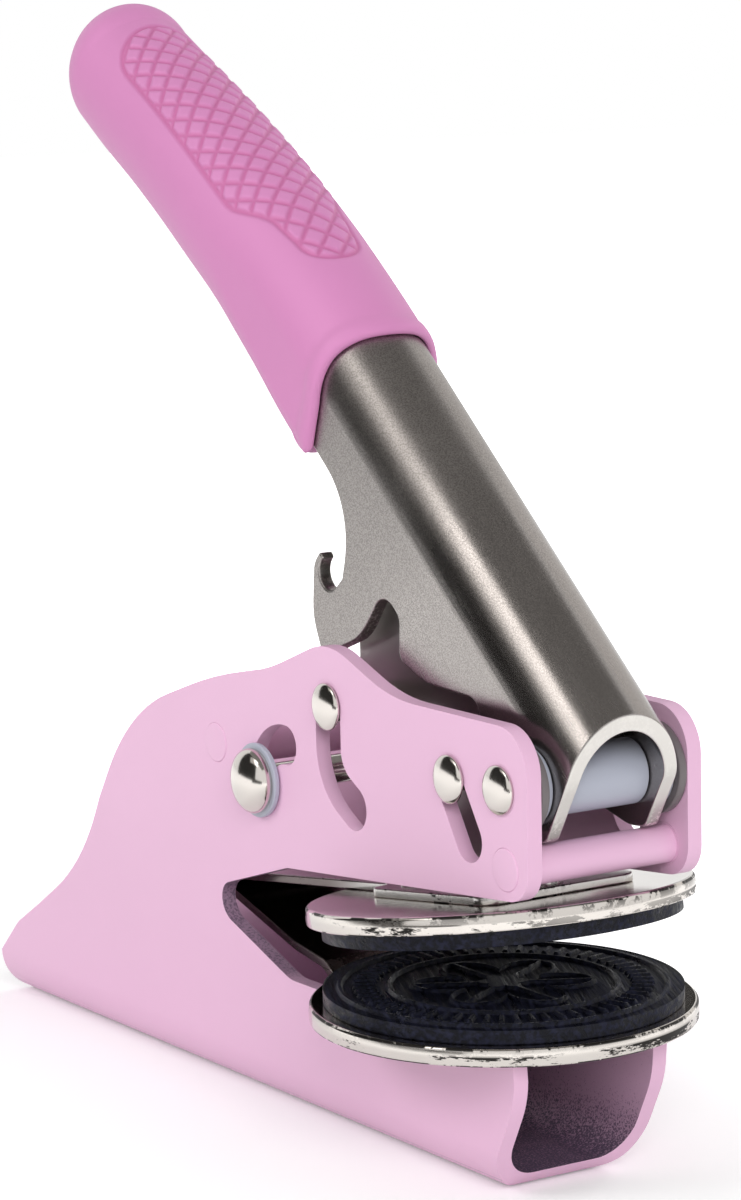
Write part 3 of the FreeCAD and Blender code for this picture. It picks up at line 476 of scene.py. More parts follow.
def paint_finish():
    """Satin enamel, a little uneven, with dark speckled overspray and painted shade low inside the channel.

    The dark colour, part speckled overspray and part painted shade, shows where a point lies
    inside the walls and above the floor's outer face, not on a cut front face. A second band of
    it lies on the cut edge of the mouth.
    """
    material, nodes, place = new_finish("pink_enamel")
    paint, gloss, height = grained(nodes, place, rgba(colours().paint), 1400.0, 0.05)
    x, y, z = nodes.split(place)
    face_x, face_y, _ = nodes.split(nodes.object_normal())
    inside = nodes.spread(nodes.magnitude(face_x), 0.75, 0.50)
    # the walls' inner faces, the top of the overspray and painted shade, and the floor's outer face
    for way, none, full in ((nodes.magnitude(y), 10.0, 9.8), (z, 30.0, 19.0), (z, 1.8, 2.1)):
        inside = nodes.times(inside, nodes.spread(way, none * MM, full * MM))
    low = nodes.spread(z, 0.0120, 0.0022)
    front = nodes.spread(x, -0.060, 0.015, 0.4, 1.0)
    amount = nodes.spread(nodes.times(low, front), 0.0, 1.0, 0.34, 0.60)
    speckle = use_group(nodes, "Speckle", Vector=place, Scale=3600.0, Amount=amount, Patchiness=0.10)
    # painted shade: every inner face takes at least 0.34 of the dark colour, up to 0.20 more low down; the
    # speckles on top are real overspray
    overspray_and_shade_share = nodes.plus(nodes.times(speckle["Mask"], 0.42), nodes.times(low, 0.20))
    overspray_and_shade_share = nodes.times(inside, nodes.plus(overspray_and_shade_share, 0.34), clamp=True)
    sprayed_and_shaded = nodes.mix(overspray_and_shade_share, paint, rgba(colours().spray_and_shade))
    edge = nodes.spread(nodes.magnitude(face_y), 0.85, 0.45)
    # the bottom, top, back and front of the mouth's cut edge
    for way, none, full in ((z, 18.5, 20.0), (z, 37.5, 36.5), (x, -64.0, -62.5), (x, 8.0, 2.0)):
        edge = nodes.times(edge, nodes.spread(way, none * MM, full * MM))
    grit = use_group(nodes, "Speckle", Vector=place, Scale=2600.0, Amount=0.5, Patchiness=0.2)
    edge = nodes.times(edge, nodes.spread(grit["Mask"], 0.0, 1.0, 0.62, 0.85))
    colour = nodes.mix(edge, sprayed_and_shaded, rgba(colours().spray_and_shade))
    return dressed(material, nodes, colour, nodes.plus(gloss, 0.42), height, 0.02 * MM, 0.35,
                   Specular_IOR_Level=0.45)


def grip_finish():
    """Soft satin moulding, with painted shade darkening the grooves."""
    material, nodes, place = new_finish("soft_pink_moulding")
    groove = nodes.new("ShaderNodeAttribute")
    groove.attribute_name = "groove"
    # painted shade: the groove mask blends in the darker pink
    pink = nodes.mix(groove.outputs["Fac"], rgba(colours().grip), rgba(colours().groove))
    colour, gloss, height = grained(nodes, place, pink, 1800.0, 0.05)
    return dressed(material, nodes, colour, nodes.plus(gloss, 0.48), height, 0.02 * MM, 0.4,
                   Specular_IOR_Level=0.4)


def past_pivot(nodes, place, way):
    """How far a point lies past the lever's pivot along a way."""
    return nodes.minus(nodes.dot(place, way), PIVOT.dot(way))


def metal_finish(name, colour, roughness, scale, turn=(0.0, 0.0, 0.0), strength=0.3, flecks=0.0,
                 frequency=600.0, bump=0.002, shaded=False, grain=0.0, cut=False):
    """Plated or rolled metal with marks drawn out along the piece.

    flecks: dark spots along rounded edges and patches round a rim, as where plating is thin.
    shaded: painted shade, darker towards the back of the mouth, which lies in shade.
    grain: a fine sparkle, stronger towards the grip, with this share of grain in the bump.
    cut: bare metal on the lever's sawn front end, torn in its lower corners, and a duller skin
    towards the grip.
    """
    material, nodes, place = new_finish(name)
    along = nodes.stretch(place, scale, turn)
    streak = use_group(nodes, "Drawn streaks", Vector=along, Scale=frequency, Strength=strength)
    base, height = rgba(colour), streak["Height"]
    if grain:
        sparkle = nodes.spread(nodes.noise(place, 5200.0, detail=1.0), 0.38, 0.62)
        front, grip = -2.0 * MM, -34.0 * MM
        grown = nodes.spread(past_pivot(nodes, place, LEVER_AHEAD), front, grip, 0.35, 1.0)
        base = nodes.mix(grown, base, nodes.mix(sparkle, rgba(colour, 0.78), rgba(colour, 1.22)))
        height = nodes.mix(grain, height, nodes.noise(place, 2600.0, detail=2.0))
    shade = nodes.mix(1.0, base, streak["Shade"], blend="MULTIPLY")
    gloss = nodes.plus(streak["Gloss"], roughness)
    if flecks:
        speckle = use_group(nodes, "Speckle", Vector=place, Scale=1500.0, Amount=flecks, Patchiness=1.6)
        edge = use_group(nodes, "Edge wear", Vector=place, Breakup=500.0)
        upright = nodes.magnitude(nodes.split(nodes.object_normal())[2])
        band = nodes.times(nodes.spread(upright, 0.10, 0.35), nodes.spread(upright, 0.97, 0.85))
        dark = nodes.times(speckle["Mask"], nodes.larger(band, edge["Mask"]), clamp=True)
        patches = use_group(nodes, "Speckle", Vector=nodes.stretch(place, (4.0, 4.0, 1.0)),
                            Scale=3400.0, Amount=flecks * 0.66, Patchiness=1.8)
        dark = nodes.larger(dark, nodes.times(patches["Mask"], nodes.spread(upright, 0.12, 0.05)))
        shade = nodes.mix(dark, shade, rgba(colour, 0.05))
        gloss = nodes.plus(gloss, nodes.times(dark, 0.35))
    if cut:
        torn = use_group(nodes, "Speckle", Vector=place, Scale=2200.0, Amount=0.60, Patchiness=0.6)
        bright_end, dull_start, crown, corner = -30.0 * MM, -44.0 * MM, 1.0 * MM, -3.0 * MM
        worn = nodes.spread(past_pivot(nodes, place, LEVER_AHEAD), bright_end, dull_start, 0.0, 0.10)
        gloss = nodes.plus(gloss, worn)
        low = nodes.spread(past_pivot(nodes, place, LEVER_UP), crown, corner, 0.10, 1.0)
        bright = nodes.spread(nodes.dot(nodes.object_normal(), LEVER_AHEAD), 0.45, 0.65)
        raw = nodes.mix(nodes.times(torn["Mask"], low), rgba(colours().cut), rgba(colours().torn))
        shade = nodes.mix(bright, shade, raw)
        gloss = nodes.plus(gloss, nodes.times(bright, 0.12))
    # painted shade: the strap darkens towards the back of the mouth, a little more higher up
    if shaded:
        x, _, z = nodes.split(place)
        back = nodes.times(nodes.spread(x, -0.012, -0.030, smooth=True),
                           nodes.spread(z, 0.0185, 0.0300, 0.80, 0.90))
        shade = nodes.mix(back, shade, rgba(colours().painted_mouth_shade))
    return dressed(material, nodes, shade, gloss, height, bump * MM, Metallic=1.0)


def plastic_finish(name, colour, roughness, sheen=0.0):
    """Turned or moulded plastic with a faint grain."""
    material, nodes, place = new_finish(name)
    colour, gloss, height = grained(nodes, place, rgba(colour), 1600.0, 0.08)
    return dressed(material, nodes, colour, nodes.plus(gloss, roughness), height, 0.01 * MM, 0.4,
                   Coat_Weight=sheen)


def die_finish():
    """Near-black die plastic with fine cutter marks across its face."""
    material, nodes, place = new_finish("die_black")
    along = nodes.stretch(place, (14.0, 1.0, 1.0), (0.0, 0.0, math.radians(-26)))
    streak = use_group(nodes, "Drawn streaks", Vector=along, Scale=1500.0, Strength=3.0)
    mark = nodes.spread(nodes.noise(along, 1500.0, detail=2.0), 0.42, 0.66)
    colour = nodes.mix(mark, rgba(colours().die, 0.7), rgba(colours().die, 3.2))
    gloss = nodes.plus(nodes.times(streak["Gloss"], 0.6), 0.44)
    return dressed(material, nodes, colour, gloss, streak["Height"], 0.22 * MM, Specular_IOR_Level=0.18)


def finish(name):
    """The material of that name, made on first use."""
    if name in bpy.data.materials:
        return bpy.data.materials[name]
    hue = colours()
    slope = (0.0, LEVER_SLOPE, 0.0)
    makers = {
        "pink_enamel": paint_finish,
        "soft_pink_moulding": grip_finish,
        "die_black": die_finish,
        "lever_nickel": lambda: metal_finish("lever_nickel", hue.lever, 0.25, (5.0, 1.0, 1.0), slope, 0.22,
                                             frequency=1500.0, bump=0.006, grain=0.93, cut=True),
        "pin_nickel": lambda: metal_finish("pin_nickel", hue.nickel, 0.14, (1.0, 1.0, 1.0), strength=0.08),
        "plate_nickel": lambda: metal_finish("plate_nickel", hue.nickel, 0.13, (2.0, 2.0, 1.0),
                                             strength=0.15, flecks=0.54),
        "strap_steel": lambda: metal_finish("strap_steel", hue.steel, 0.20, (10.0, 1.0, 1.0),
                                            strength=0.25, flecks=0.42, shaded=True),
        "dull_steel": lambda: metal_finish("dull_steel", hue.dull_steel, 0.34, (3.0, 1.0, 1.0), strength=0.3),
        "sleeve_plastic": lambda: plastic_finish("sleeve_plastic", hue.sleeve, 0.35, 0.15),
        "washer_plastic": lambda: plastic_finish("washer_plastic", hue.washer, 0.45),
    }
    return makers[name]()


# Pieces


def stand(node):
    """The corners of a node's box, and the matrix that lays a turned piece across its middle."""
    low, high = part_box(node)
    return low, high, across((low + high) / 2)


# heights of the pins' domes, and the head radius from which one is large
SMALL_DOME = 1.1 * MM
LARGE_DOME = 2.7 * MM
WIDE_HEAD = 4.0 * MM


def pin_profile(shank, head, dome, seat):
    """Half profile of a pin with a low dome at both ends.

    A dome is r = R cos t, a = rim + (dome - rim) sin t, with t from the rim to the crown.
    """
    rim = dome * 0.22
    t = np.linspace(0, math.pi / 2, 15)
    crown = np.column_stack([head * np.cos(t), seat + rim + (dome - rim) * np.sin(t)])
    half = np.vstack([[[shank, seat], [head * 0.98, seat], [head, seat + rim * 0.35]], crown])
    return np.vstack([half[::-1] * [1, -1], half])


def make_pin(node, body, shank, head):
    """A turned pin as long as the node's box, with the radii of its shank and head. A wide head is high."""
    _, high, place = stand(node)
    dome = SMALL_DOME if head < WIDE_HEAD else LARGE_DOME
    profile = pin_profile(shank, head, dome, high.y - dome)
    return turned_node(node, profile, place, "pin_nickel", body, "nickel", sharp=60.0)


def make_washer(node, body, bore, slot, material):
    """A turned ring where the node stands, with its edges rounded."""
    low, high, place = stand(node)
    outer = (high.x - low.x) / 2
    rounding, bore_edge = min(0.25 * MM, (high.y - low.y) * 0.3), 0.05 * MM
    corners = [(bore, low.y, bore_edge), (outer, low.y, rounding),
               (outer, high.y, rounding), (bore, high.y, bore_edge)]
    return turned_node(node, rounded_profile(corners), place, material, body, slot, closed=True)


def make_sheet(node, name, width, material, body, slot):
    """A copy of a node's solid with rounded edges."""
    return settle(rounded_copy(name, node, width, finish(material)), body, slot, node)


def make_spacer(node, end_radius, radius):
    """A painted shouldered rod whose riveted ends stand a hair proud of the walls."""
    _, high, place = stand(node)
    proud, shoulder_depth, rounding = 0.12 * MM, 2.22 * MM, 0.2 * MM
    outer, shoulder = high.y + proud, high.y - shoulder_depth
    half = [(radius, shoulder, 0), (end_radius, shoulder, 0), (end_radius, outer, rounding), (0, outer, 0)]
    corners = [(reach, -along, fillet) for reach, along, fillet in half[::-1]] + half
    return turned_node(node, rounded_profile(corners), place, "pink_enamel", "base", "pink_paint")


def lever_point(x, y, z):
    """Points of the lever's own frame carried to the model's: the pivot plus x and z along the slope."""
    cos, sin = math.cos(LEVER_SLOPE), math.sin(LEVER_SLOPE)
    return np.stack([PIVOT.x + x * cos + z * sin, y + 0 * x, PIVOT.z - x * sin + z * cos], axis=-1)


def eased(share):
    """A share from 0 to 1 with a smooth start and end: s(t) = t t (3 - 2 t)."""
    return share * share * (3 - 2 * share)


def smooth_read(keys, values, at):
    """Cubic through table rows: h00 p0 + h10 m0 + h01 p1 + h11 m1 between two keys."""
    keys, values, at = (np.asarray(item, float) for item in (keys, values, at))
    slopes = np.gradient(values, keys)
    i = np.clip(np.searchsorted(keys, at) - 1, 0, len(keys) - 2)
    span = keys[i + 1] - keys[i]
    t = (at - keys[i]) / span
    h00, h10 = 2 * t ** 3 - 3 * t ** 2 + 1, t ** 3 - 2 * t ** 2 + t
    h01, h11 = -2 * t ** 3 + 3 * t ** 2, t ** 3 - t ** 2
    return h00 * values[i] + h10 * span * slopes[i] + h01 * values[i + 1] + h11 * span * slopes[i + 1]


def section_ring(half, drop, corner, share):
    """Points and outward normals round one section, by share of its girth from the ridge.

    Top: a half circle of radius half. Sides: straight to the corner arcs. Bottom: flat at -drop.
    The left is the mirror of the right, so only |share| up to one half is worked out.
    """
    side = np.sign(share)
    arc, wall = half * math.pi / 2, drop - corner
    turn, flat = corner * math.pi / 2, half - corner
    run = np.abs(share) * 2 * (arc + wall + turn + flat)
    a = np.clip(run / half, 0, math.pi / 2)
    down = np.clip(run - arc, 0, wall)
    b = np.clip((run - arc - wall) / corner, 0, math.pi / 2)
    back = np.clip(run - arc - wall - turn, 0, flat)
    y = np.where(run < arc, half * np.sin(a), flat + corner * np.cos(b) - back)
    z = np.where(run < arc, half * np.cos(a), -down - corner * np.sin(b))
    ny = np.where(run < arc, np.sin(a), np.cos(b))
    nz = np.where(run < arc, np.cos(a), -np.sin(b))
    return side * y, z, side * ny, nz


GRIP_ROWS = np.array([
    # back, middle height, half width, drop, corner: millimetres in the lever's frame
    (55.0, 4.10, 9.60, 9.80, 3.0), (62.5, 4.10, 9.65, 10.00, 3.2), (70.0, 4.10, 9.70, 10.20, 3.5),
    (80.0, 3.95, 9.65, 10.40, 4.6), (88.0, 3.30, 9.81, 10.58, 6.3), (95.0, 2.14, 10.17, 10.77, 9.0),
    (103.0, 0.85, 10.40, 10.45, 9.9), (112.0, -0.35, 10.20, 10.20, 9.8), (122.0, -2.00, 9.95, 9.88, 9.5),
    (131.0, -3.80, 9.78, 9.52, 9.15), (138.7, -5.16, 9.57, 9.00, 8.6),
]) * MM
MOUTH = np.array([
    # height on the bore, how far back the mouth lies there: millimetres in the lever's frame
    (-12.0, 61.3), (-3.0, 61.2), (0.3, 62.6), (2.6, 63.6), (4.7, 64.7), (6.6, 65.6), (8.7, 66.4), (10.6, 66.6),
    (12.0, 66.4), (13.7, 65.6), (20.0, 64.0),
]) * MM
GRIP_END = GRIP_ROWS[-1, 0]
# half width, drop and corner of the bore, how high its middle lies, how deep it goes, and a ring on the way
BORE_SECTION = (8.78 * MM, 6.98 * MM, 0.4 * MM)
BORE_RISE = 4.1 * MM
BORE_END = 86.05 * MM
BORE_HOLD = 75.0 * MM
# the lip has no height below the first of these heights, and its whole height from the second
LIP_FADE = (-6.0 * MM, -1.0 * MM)
# how far back the mouth's flat bottom lies further, and the skin's first ring behind the lip
MOUTH_UNDERCUT = 1.8 * MM
LIP_RUN = 4.7 * MM
# how far the end's crown lifts
CROWN_LIFT = 1.1 * MM


def grip_column(index, at):
    return smooth_read(GRIP_ROWS[:, 0], GRIP_ROWS[:, index], at)


def grip_surface(back, share):
    """Points and normals on the plain grip: rows through the table, then a dome over the end.

    In the dome the section shrinks by sqrt(1 - q^2) while the middle moves back by q half widths
    and lifts a little, which brings the crown up to the real one's.
    """
    q = np.clip((back - GRIP_END) / GRIP_ROWS[-1, 2], 0, 1)
    at = np.minimum(back, GRIP_END)
    step = 0.5 * MM
    beyond, before = np.minimum(at + step, GRIP_END), np.maximum(at - step, GRIP_ROWS[0, 0])
    middle, half, drop, corner = (grip_column(i, at) for i in range(1, 5))
    fall = np.arctan2(grip_column(1, before) - grip_column(1, beyond), beyond - at + step) * (1 - q)
    shrink = np.sqrt(np.clip(1 - q ** 2, 1e-9, 1))
    y, z, ny, nz = section_ring(half * shrink, drop * shrink, corner * shrink, share)
    middle = middle + CROWN_LIFT * q ** 1.5
    x = -back - z * np.sin(fall)
    normals = np.stack([-nz * np.sin(fall) - q * 0.9, ny, nz], -1)
    return np.stack([x, y, middle + z * np.cos(fall)], -1), normals


# the patch's ends in millimetres back, and the middle of its width in degrees round
PATCH_ENDS = (80.1, 136.6)
PATCH_MIDDLE = -5.0
# where grooves cross on the middle line, and millimetres round the grip in one degree
CROSSING = 84.66 * MM
DEGREE_RUN = 9.9 * math.pi / 180
# degrees round from one crossing to the next, and half a groove's width
KNURL_STEP = 21.1
KNURL_HALF = 0.48 * MM
# the outline's groove: how far inside the patch, half its width, and how proud the patch stands
BORDER_IN = 0.15 * MM
BORDER_HALF = 0.5 * MM
PATCH_PROUD = 0.08 * MM


def patch_reach(back):
    """Half width of the grip patch in degrees round, by millimetres back.

    A narrow nose, a smooth step out to the broad part, and a half ellipse at the end.
    """
    step = eased(np.clip((back - 88.2) / 9.0, 0, 1))
    side = 25.5 + 1.05 * np.clip(back - 84.6, 0, 3.6) + 21.5 * step
    side = side - 0.094 * np.clip(back - 97.2, 0, 31.8)
    nose = np.sqrt(1 - np.clip((84.6 - back) / 4.5, 0, 1) ** 2)
    tail = np.sqrt(1 - np.clip((back - 128.9) / 7.7, 0, 1) ** 2)
    return side * nose * tail


def patch_depth(back, angle):
    """Distance inside the grip patch's outline: the least distance to its edge's chords."""
    start, end = PATCH_ENDS
    edge = start + (end - start) * (1 - np.cos(np.linspace(0, math.pi, 61))) / 2
    reach = patch_reach(edge) * DEGREE_RUN
    x, y = back / MM, np.abs(angle) * DEGREE_RUN
    nearest = np.full(x.shape, 1e3)
    for ax, ay, bx, by in zip(edge[:-1], reach[:-1], edge[1:], reach[1:]):
        run, rise = bx - ax, by - ay
        t = np.clip(((x - ax) * run + (y - ay) * rise) / (run * run + rise * rise), 0, 1)
        nearest = np.minimum(nearest, np.hypot(x - ax - t * run, y - ay - t * rise))
    within = (x > start) & (x < end) & (y < patch_reach(x) * DEGREE_RUN)
    return np.where(within, nearest, -nearest) * MM


def knurl(back, angle, inside):
    """Groove mask of the diamond patch: lines where back / pitch plus or minus turns / step is whole.

    Each line is a smooth valley; the patch's own outline is one more.
    """
    pitch = sizes().knurl_pitch
    along, around = (back - CROSSING) / pitch, angle / KNURL_STEP
    across = 1 / math.hypot(1 / pitch, 1 / (KNURL_STEP * DEGREE_RUN * MM))

    def valley(value):
        off = np.abs((value + 0.5) % 1.0 - 0.5) * across
        return np.clip(1.15 - off / KNURL_HALF, 0, 1)

    cells = np.maximum(valley(along + around), valley(along - around)) * (inside > 0)
    border = np.clip(1.1 - np.abs(inside - BORDER_IN) / BORDER_HALF, 0, 1)
    return eased(np.maximum(cells, border))


def make_grip():
    """The soft sleeve as one closed grid: bore, rolled lip, patterned skin and domed end."""
    columns = 300
    share = (np.arange(columns) + 0.5) / columns - 0.5
    by, bz, _, bnz = section_ring(*BORE_SECTION, share)
    bz = bz + BORE_RISE
    mouth = smooth_read(MOUTH[:, 0], MOUTH[:, 1], bz)
    mouth = mouth + MOUTH_UNDERCUT * np.clip(-bnz, 0, 1) ** 2
    lip = sizes().lip_height * np.clip((bz - LIP_FADE[0]) / (LIP_FADE[1] - LIP_FADE[0]), 0.0, 1.0)
    # back from the mouth, share of the way from bore to skin, share of the lip's height
    lip_shares = ((1.00, 0.0, 0.0), (0.35, 0.02, 0.0), (0.10, 0.15, 0.0), (0.00, 0.40, 0.1), (0.10, 0.70, 0.3),
                  (0.35, 0.95, 0.60), (0.75, 1.0, 0.86), (1.20, 1.0, 1.0), (1.70, 1.0, 1.0), (2.20, 1.0, 0.85),
                  (2.65, 1.0, 0.52), (3.05, 1.0, 0.20), (3.45, 1.0, 0.02), (3.9, 1.0, -0.04), (4.3, 1.0, -0.01))
    rows = [np.stack([-BORE_END + 0 * by, 0 * by, BORE_RISE + 0 * bz], -1)]
    for place in (BORE_END, BORE_HOLD):
        rows.append(np.stack([-place + 0 * by, by, bz], -1))
    for away, reach, height in lip_shares:
        back = mouth + away * MM
        skin, normal = grip_surface(back, share)
        bore = np.stack([-back, by, bz], -1)
        rows.append(bore * (1 - reach) + skin * reach + normal * (lip * height)[:, None])
    count, short = 280, 0.01 * MM
    t = np.linspace(0, 1, count)[:, None]
    back = (mouth + LIP_RUN)[None, :] * (1 - t) + (GRIP_END - short) * t
    skin, normal = grip_surface(back, share[None, :] + 0 * t)
    angle = share[None, :] * 360 - PATCH_MIDDLE + 0 * t
    inside = patch_depth(back, angle)
    mask = knurl(back, angle, inside)
    lift = PATCH_PROUD * np.clip(inside / BORDER_HALF, 0, 1)
    skin = skin + normal * (lift - mask * sizes().knurl_depth)[..., None]
    dome = np.sin(np.linspace(0, math.pi / 2, 26)[1:-1])[:, None]
    end, _ = grip_surface(GRIP_END + dome * GRIP_ROWS[-1, 2], share[None, :] + 0 * dome)
    tip, _ = grip_surface(GRIP_END + GRIP_ROWS[-1, 2] + 0 * share, share)
    points = np.concatenate([np.array(rows), skin, end, tip.mean(axis=0)[None, None, :] + 0 * tip[None]])
    groove = np.zeros(points.shape[:2])
    # the groove mask also carries the painted shade of the grooves
    groove[len(rows):len(rows) + count] = mask
    placed = lever_point(points[..., 0], points[..., 1], points[..., 2])
    piece = piece_from("grip_skin", placed, grid_faces(len(points), columns), finish("soft_pink_moulding"),
                       sharp=70.0, masks={"groove": groove})
    return settle(piece, "handle", "pink_grip", "grip")


def die_relief(x, y):
    """Height share of a generic design: border ring, band of short bars, inner ring and a rosette."""
    reach, angle = np.hypot(x, y), np.arctan2(y, x)

    def ring(middle, half):
        return np.clip(1.5 - np.abs(reach - middle) / half, 0, 1)

    bars = np.clip(1.6 - np.abs((angle * 30 / math.pi + 0.5) % 1 - 0.5) * 6.5, 0, 1)
    border, border_half, inner_ring, inner_half = 21.4 * MM, 0.35 * MM, 15.0 * MM, 0.3 * MM
    inner, outer, fade = 16.6 * MM, 19.8 * MM, 0.2 * MM
    petal_half, vein_half, boss_fade = 0.38 * MM, 0.35 * MM, 0.25 * MM
    band = bars * np.clip((reach - inner) / fade, 0, 1) * np.clip((outer - reach) / fade, 0, 1)
    petal = (6.2 + 5.6 * np.abs(np.cos(angle * 3)) ** 0.8) * MM
    heart = (2.2 + 1.1 * np.abs(np.cos(angle * 3))) * MM
    boss = np.clip((heart - reach) / boss_fade + 1, 0, 1)
    veins = np.clip(1.5 - np.abs((angle * 3 / math.pi + 0.5) % 1 - 0.5) * reach / vein_half, 0, 1)
    veins = veins * (reach > heart) * (reach < petal)
    return eased(np.maximum.reduce([ring(border, border_half), band, ring(inner_ring, inner_half),
                                    ring(petal, petal_half), boss, veins]))


def make_die(name, node, low, high, body, matrix, facing, raised):
    """A round die: P(r, v) = (r cos v, r sin v, face + relief(r, v)), its rim and plain back closed."""
    radius, columns = 23.6 * MM, 480
    angle = np.linspace(0, 2 * math.pi, columns, endpoint=False)
    face, back = (high, low) if facing > 0 else (low, high)
    heart, field, chamfer = 1.6 * MM, 22.6 * MM, 0.15 * MM
    reach = np.concatenate([np.linspace(0, heart, 9)[:-1], np.linspace(heart, field, 150)])
    x, y = reach[:, None] * np.cos(angle), reach[:, None] * np.sin(angle)
    relief = die_relief(x, y)
    level = (relief - 1 if raised else -relief) * sizes().relief * facing
    top = np.stack([x, y, face + level], -1)
    # radius in millimetres, share of the relief's height
    rim_shares = ((22.9, -1.0), (23.25, -1.0), (23.5, -0.95), (23.6, -0.7))
    sunk = sizes().relief * facing * (1.0 if raised else 0.5)
    rings = [(rim * MM, face + share * sunk) for rim, share in rim_shares]
    rings += [(radius, back + chamfer * facing), (radius - chamfer, back), (0.0, back)]
    points = carried(np.concatenate([top, lathe(np.array(rings), angle)]), matrix)
    piece = piece_from(name, points, grid_faces(len(points), columns), finish("die_black"), sharp=40.0)
    return settle(piece, body, "black_die", node)


def make_plate(node, low, high, body, matrix):
    """A round plated disc, its rim rounded by the press tool on one side more than the other."""
    radius, rim, belly = 25.5 * MM, sizes().rim_round, 3.0 * MM
    low_draft, high_draft = 0.05 * MM, 0.12 * MM
    corners = [(0, low, 0), (radius - low_draft, low, rim * 0.5), (radius, (low + high) / 2, belly),
               (radius - high_draft, high, rim), (0, high, 0)]
    profile = rounded_profile(corners, 7)
    return turned_node(node, profile, matrix, "plate_nickel", body, "nickel", segments=256)


def make_rivets(node, body, level, way, matrix):
    """Three low rivet heads in one piece: each r = R cos t, a = H sin t over a short rim."""
    radius, height = 2.0 * MM, 0.9 * MM
    t = np.linspace(0, math.pi / 2, 9)
    crown = np.column_stack([radius * np.cos(t), height * 0.3 + height * 0.7 * np.sin(t)])
    profile = np.vstack([[[0, 0], [radius, 0]], crown]) * [1, way] + [0, level]
    heads = []
    for x, y in ((-9.0, -7.0), (-9.0, 7.0), (11.0, 0.0)):
        place = matrix @ Matrix.Translation(Vector((x * MM, y * MM, 0)))
        heads.append(turned(node + "_head", profile, place, finish("strap_steel"), segments=48))
    bpy.ops.object.select_all(action="DESELECT")
    for head in heads:
        head.select_set(True)
    bpy.context.view_layer.objects.active = heads[0]
    bpy.ops.object.join()
    heads[0].name = node + "_turned"
    return settle(heads[0], body, "bright_steel", node)


# Operators


class Builder(bpy.types.Operator):
    """A step that makes pieces; it raises if anything it needs is missing."""

    bl_options = {"REGISTER", "UNDO"}

    def execute(self, context):
        self.make()
        return {"FINISHED"}


class EMBOSSER_OT_frame(Builder):
    """Folded and painted frame"""

    bl_idname = "embosser.frame"
    bl_label = "Frame"

    def make(self):
        make_sheet("frame", "frame_shell", sizes().paint_round, "pink_enamel", "base", "pink_paint")


class EMBOSSER_OT_spacers(Builder):
    """Painted rods riveted between the frame's walls"""

    bl_idname = "embosser.spacers"
    bl_label = "Spacer rods"

    def make(self):
        end, front, rear = 2.75 * MM, 2.45 * MM, 3.5 * MM
        make_spacer("front_spacer_rod", end, front)
        make_spacer("rear_spacer", end, rear)


class EMBOSSER_OT_pins(Builder):
    """Domed pins with their washers and sleeve"""

    bl_idname = "embosser.pins"
    bl_label = "Pins and washers"

    def make(self):
        pivot, link, guide, latch = 2.3 * MM, 1.7 * MM, 2.2 * MM, 2.0 * MM
        head, knob, snug, loose = 3.15 * MM, 4.45 * MM, 0.02 * MM, 0.05 * MM
        make_pin("pivot_pin", "base", pivot, head)
        make_pin("link_pin", "handle", link, head)
        make_pin("guide_pin", "guide", guide, head)
        make_pin("latch_pin", "latch", latch, knob)
        blue, grey = ("blue_grey_plastic", "sleeve_plastic"), ("grey_plastic", "washer_plastic")
        for side in ("left", "right"):
            make_washer("pivot_washer_inner_" + side, "base", pivot + snug, *blue)
            make_washer("pivot_washer_outer_" + side, "base", pivot + snug, *grey)
            make_washer("latch_washer_" + side, "latch", latch + snug, *blue)
        make_washer("pivot_sleeve", "handle", pivot + loose, *blue)


class EMBOSSER_OT_lever(Builder):
    """Folded nickel lever"""

    bl_idname = "embosser.lever"
    bl_label = "Lever"

    def make(self):
        make_sheet("lever", "lever_shell", sizes().sheet_round, "lever_nickel", "handle", "nickel")


class EMBOSSER_OT_grip(Builder):
    """Soft patterned grip"""

    bl_idname = "embosser.grip"
    bl_label = "Grip"

    def make(self):
        make_grip()


class EMBOSSER_OT_arm(Builder):
    """Press arm with its shoe and cross pin"""

    bl_idname = "embosser.arm"
    bl_label = "Press arm"

    def make(self):
        make_sheet("press_arm", "press_arm_shell", sizes().arm_round, "dull_steel", "press", "dark_steel")
        radius, rounding, snug = 1.25 * MM, 0.2 * MM, 0.02 * MM
        make_washer("press_foot", "press", radius + snug, "dark_steel", "dull_steel")
        low, high, place = stand("foot_pin")
        corners = [(0, low.y, 0), (radius, low.y, rounding), (radius, high.y, rounding), (0, high.y, 0)]
        turned_node("foot_pin", rounded_profile(corners), place, "dull_steel", "press", "dark_steel")


class EMBOSSER_OT_insert(Builder):
    """Round plates, dies, straps and rivets of the slide-out insert"""

    bl_idname = "embosser.insert"
    bl_label = "Insert"

    def make(self):
        plate, die, gap, strap = 2.4 * MM, 2.2 * MM, 0.3 * MM, 1.2 * MM
        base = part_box("lower_plate")[0].z
        flat, leaf = Matrix.Identity(4), leaf_matrix()
        make_plate("lower_plate", base, base + plate, "insert", flat)
        make_die("lower_die_engraved", "lower_die", base + plate, base + plate + die, "insert", flat, 1, True)
        upper = base + plate + die + gap
        make_die("upper_die_engraved", "upper_die", upper, upper + die, "insert_leaf", leaf, -1, False)
        make_plate("upper_plate", upper + die, upper + die + plate, "insert_leaf", leaf)
        top = upper + die + plate + strap
        make_rivets("upper_rivets", "insert_leaf", top, 1, leaf)
        make_rivets("lower_rivets", "insert", base - strap, -1, flat)
        for node, body in (("upper_strap", "insert_leaf"), ("lower_strap", "insert")):
            make_sheet(node, node + "_leaf", sizes().strap_round, "strap_steel", body, "bright_steel")


def area_lamp(name, place, target, width, height, power):
    """A soft rectangular lamp that points at the object."""
    lamp = bpy.data.lights.new(name, "AREA")
    lamp.shape = "RECTANGLE"
    lamp.size = width
    lamp.size_y = height
    lamp.energy = power
    holder = placed_object(name, lamp)
    way = Vector(target) - Vector(place)
    holder.visible_glossy = False
    holder.matrix_world = Matrix.Translation(Vector(place)) @ way.to_track_quat("-Z", "Y").to_matrix().to_4x4()


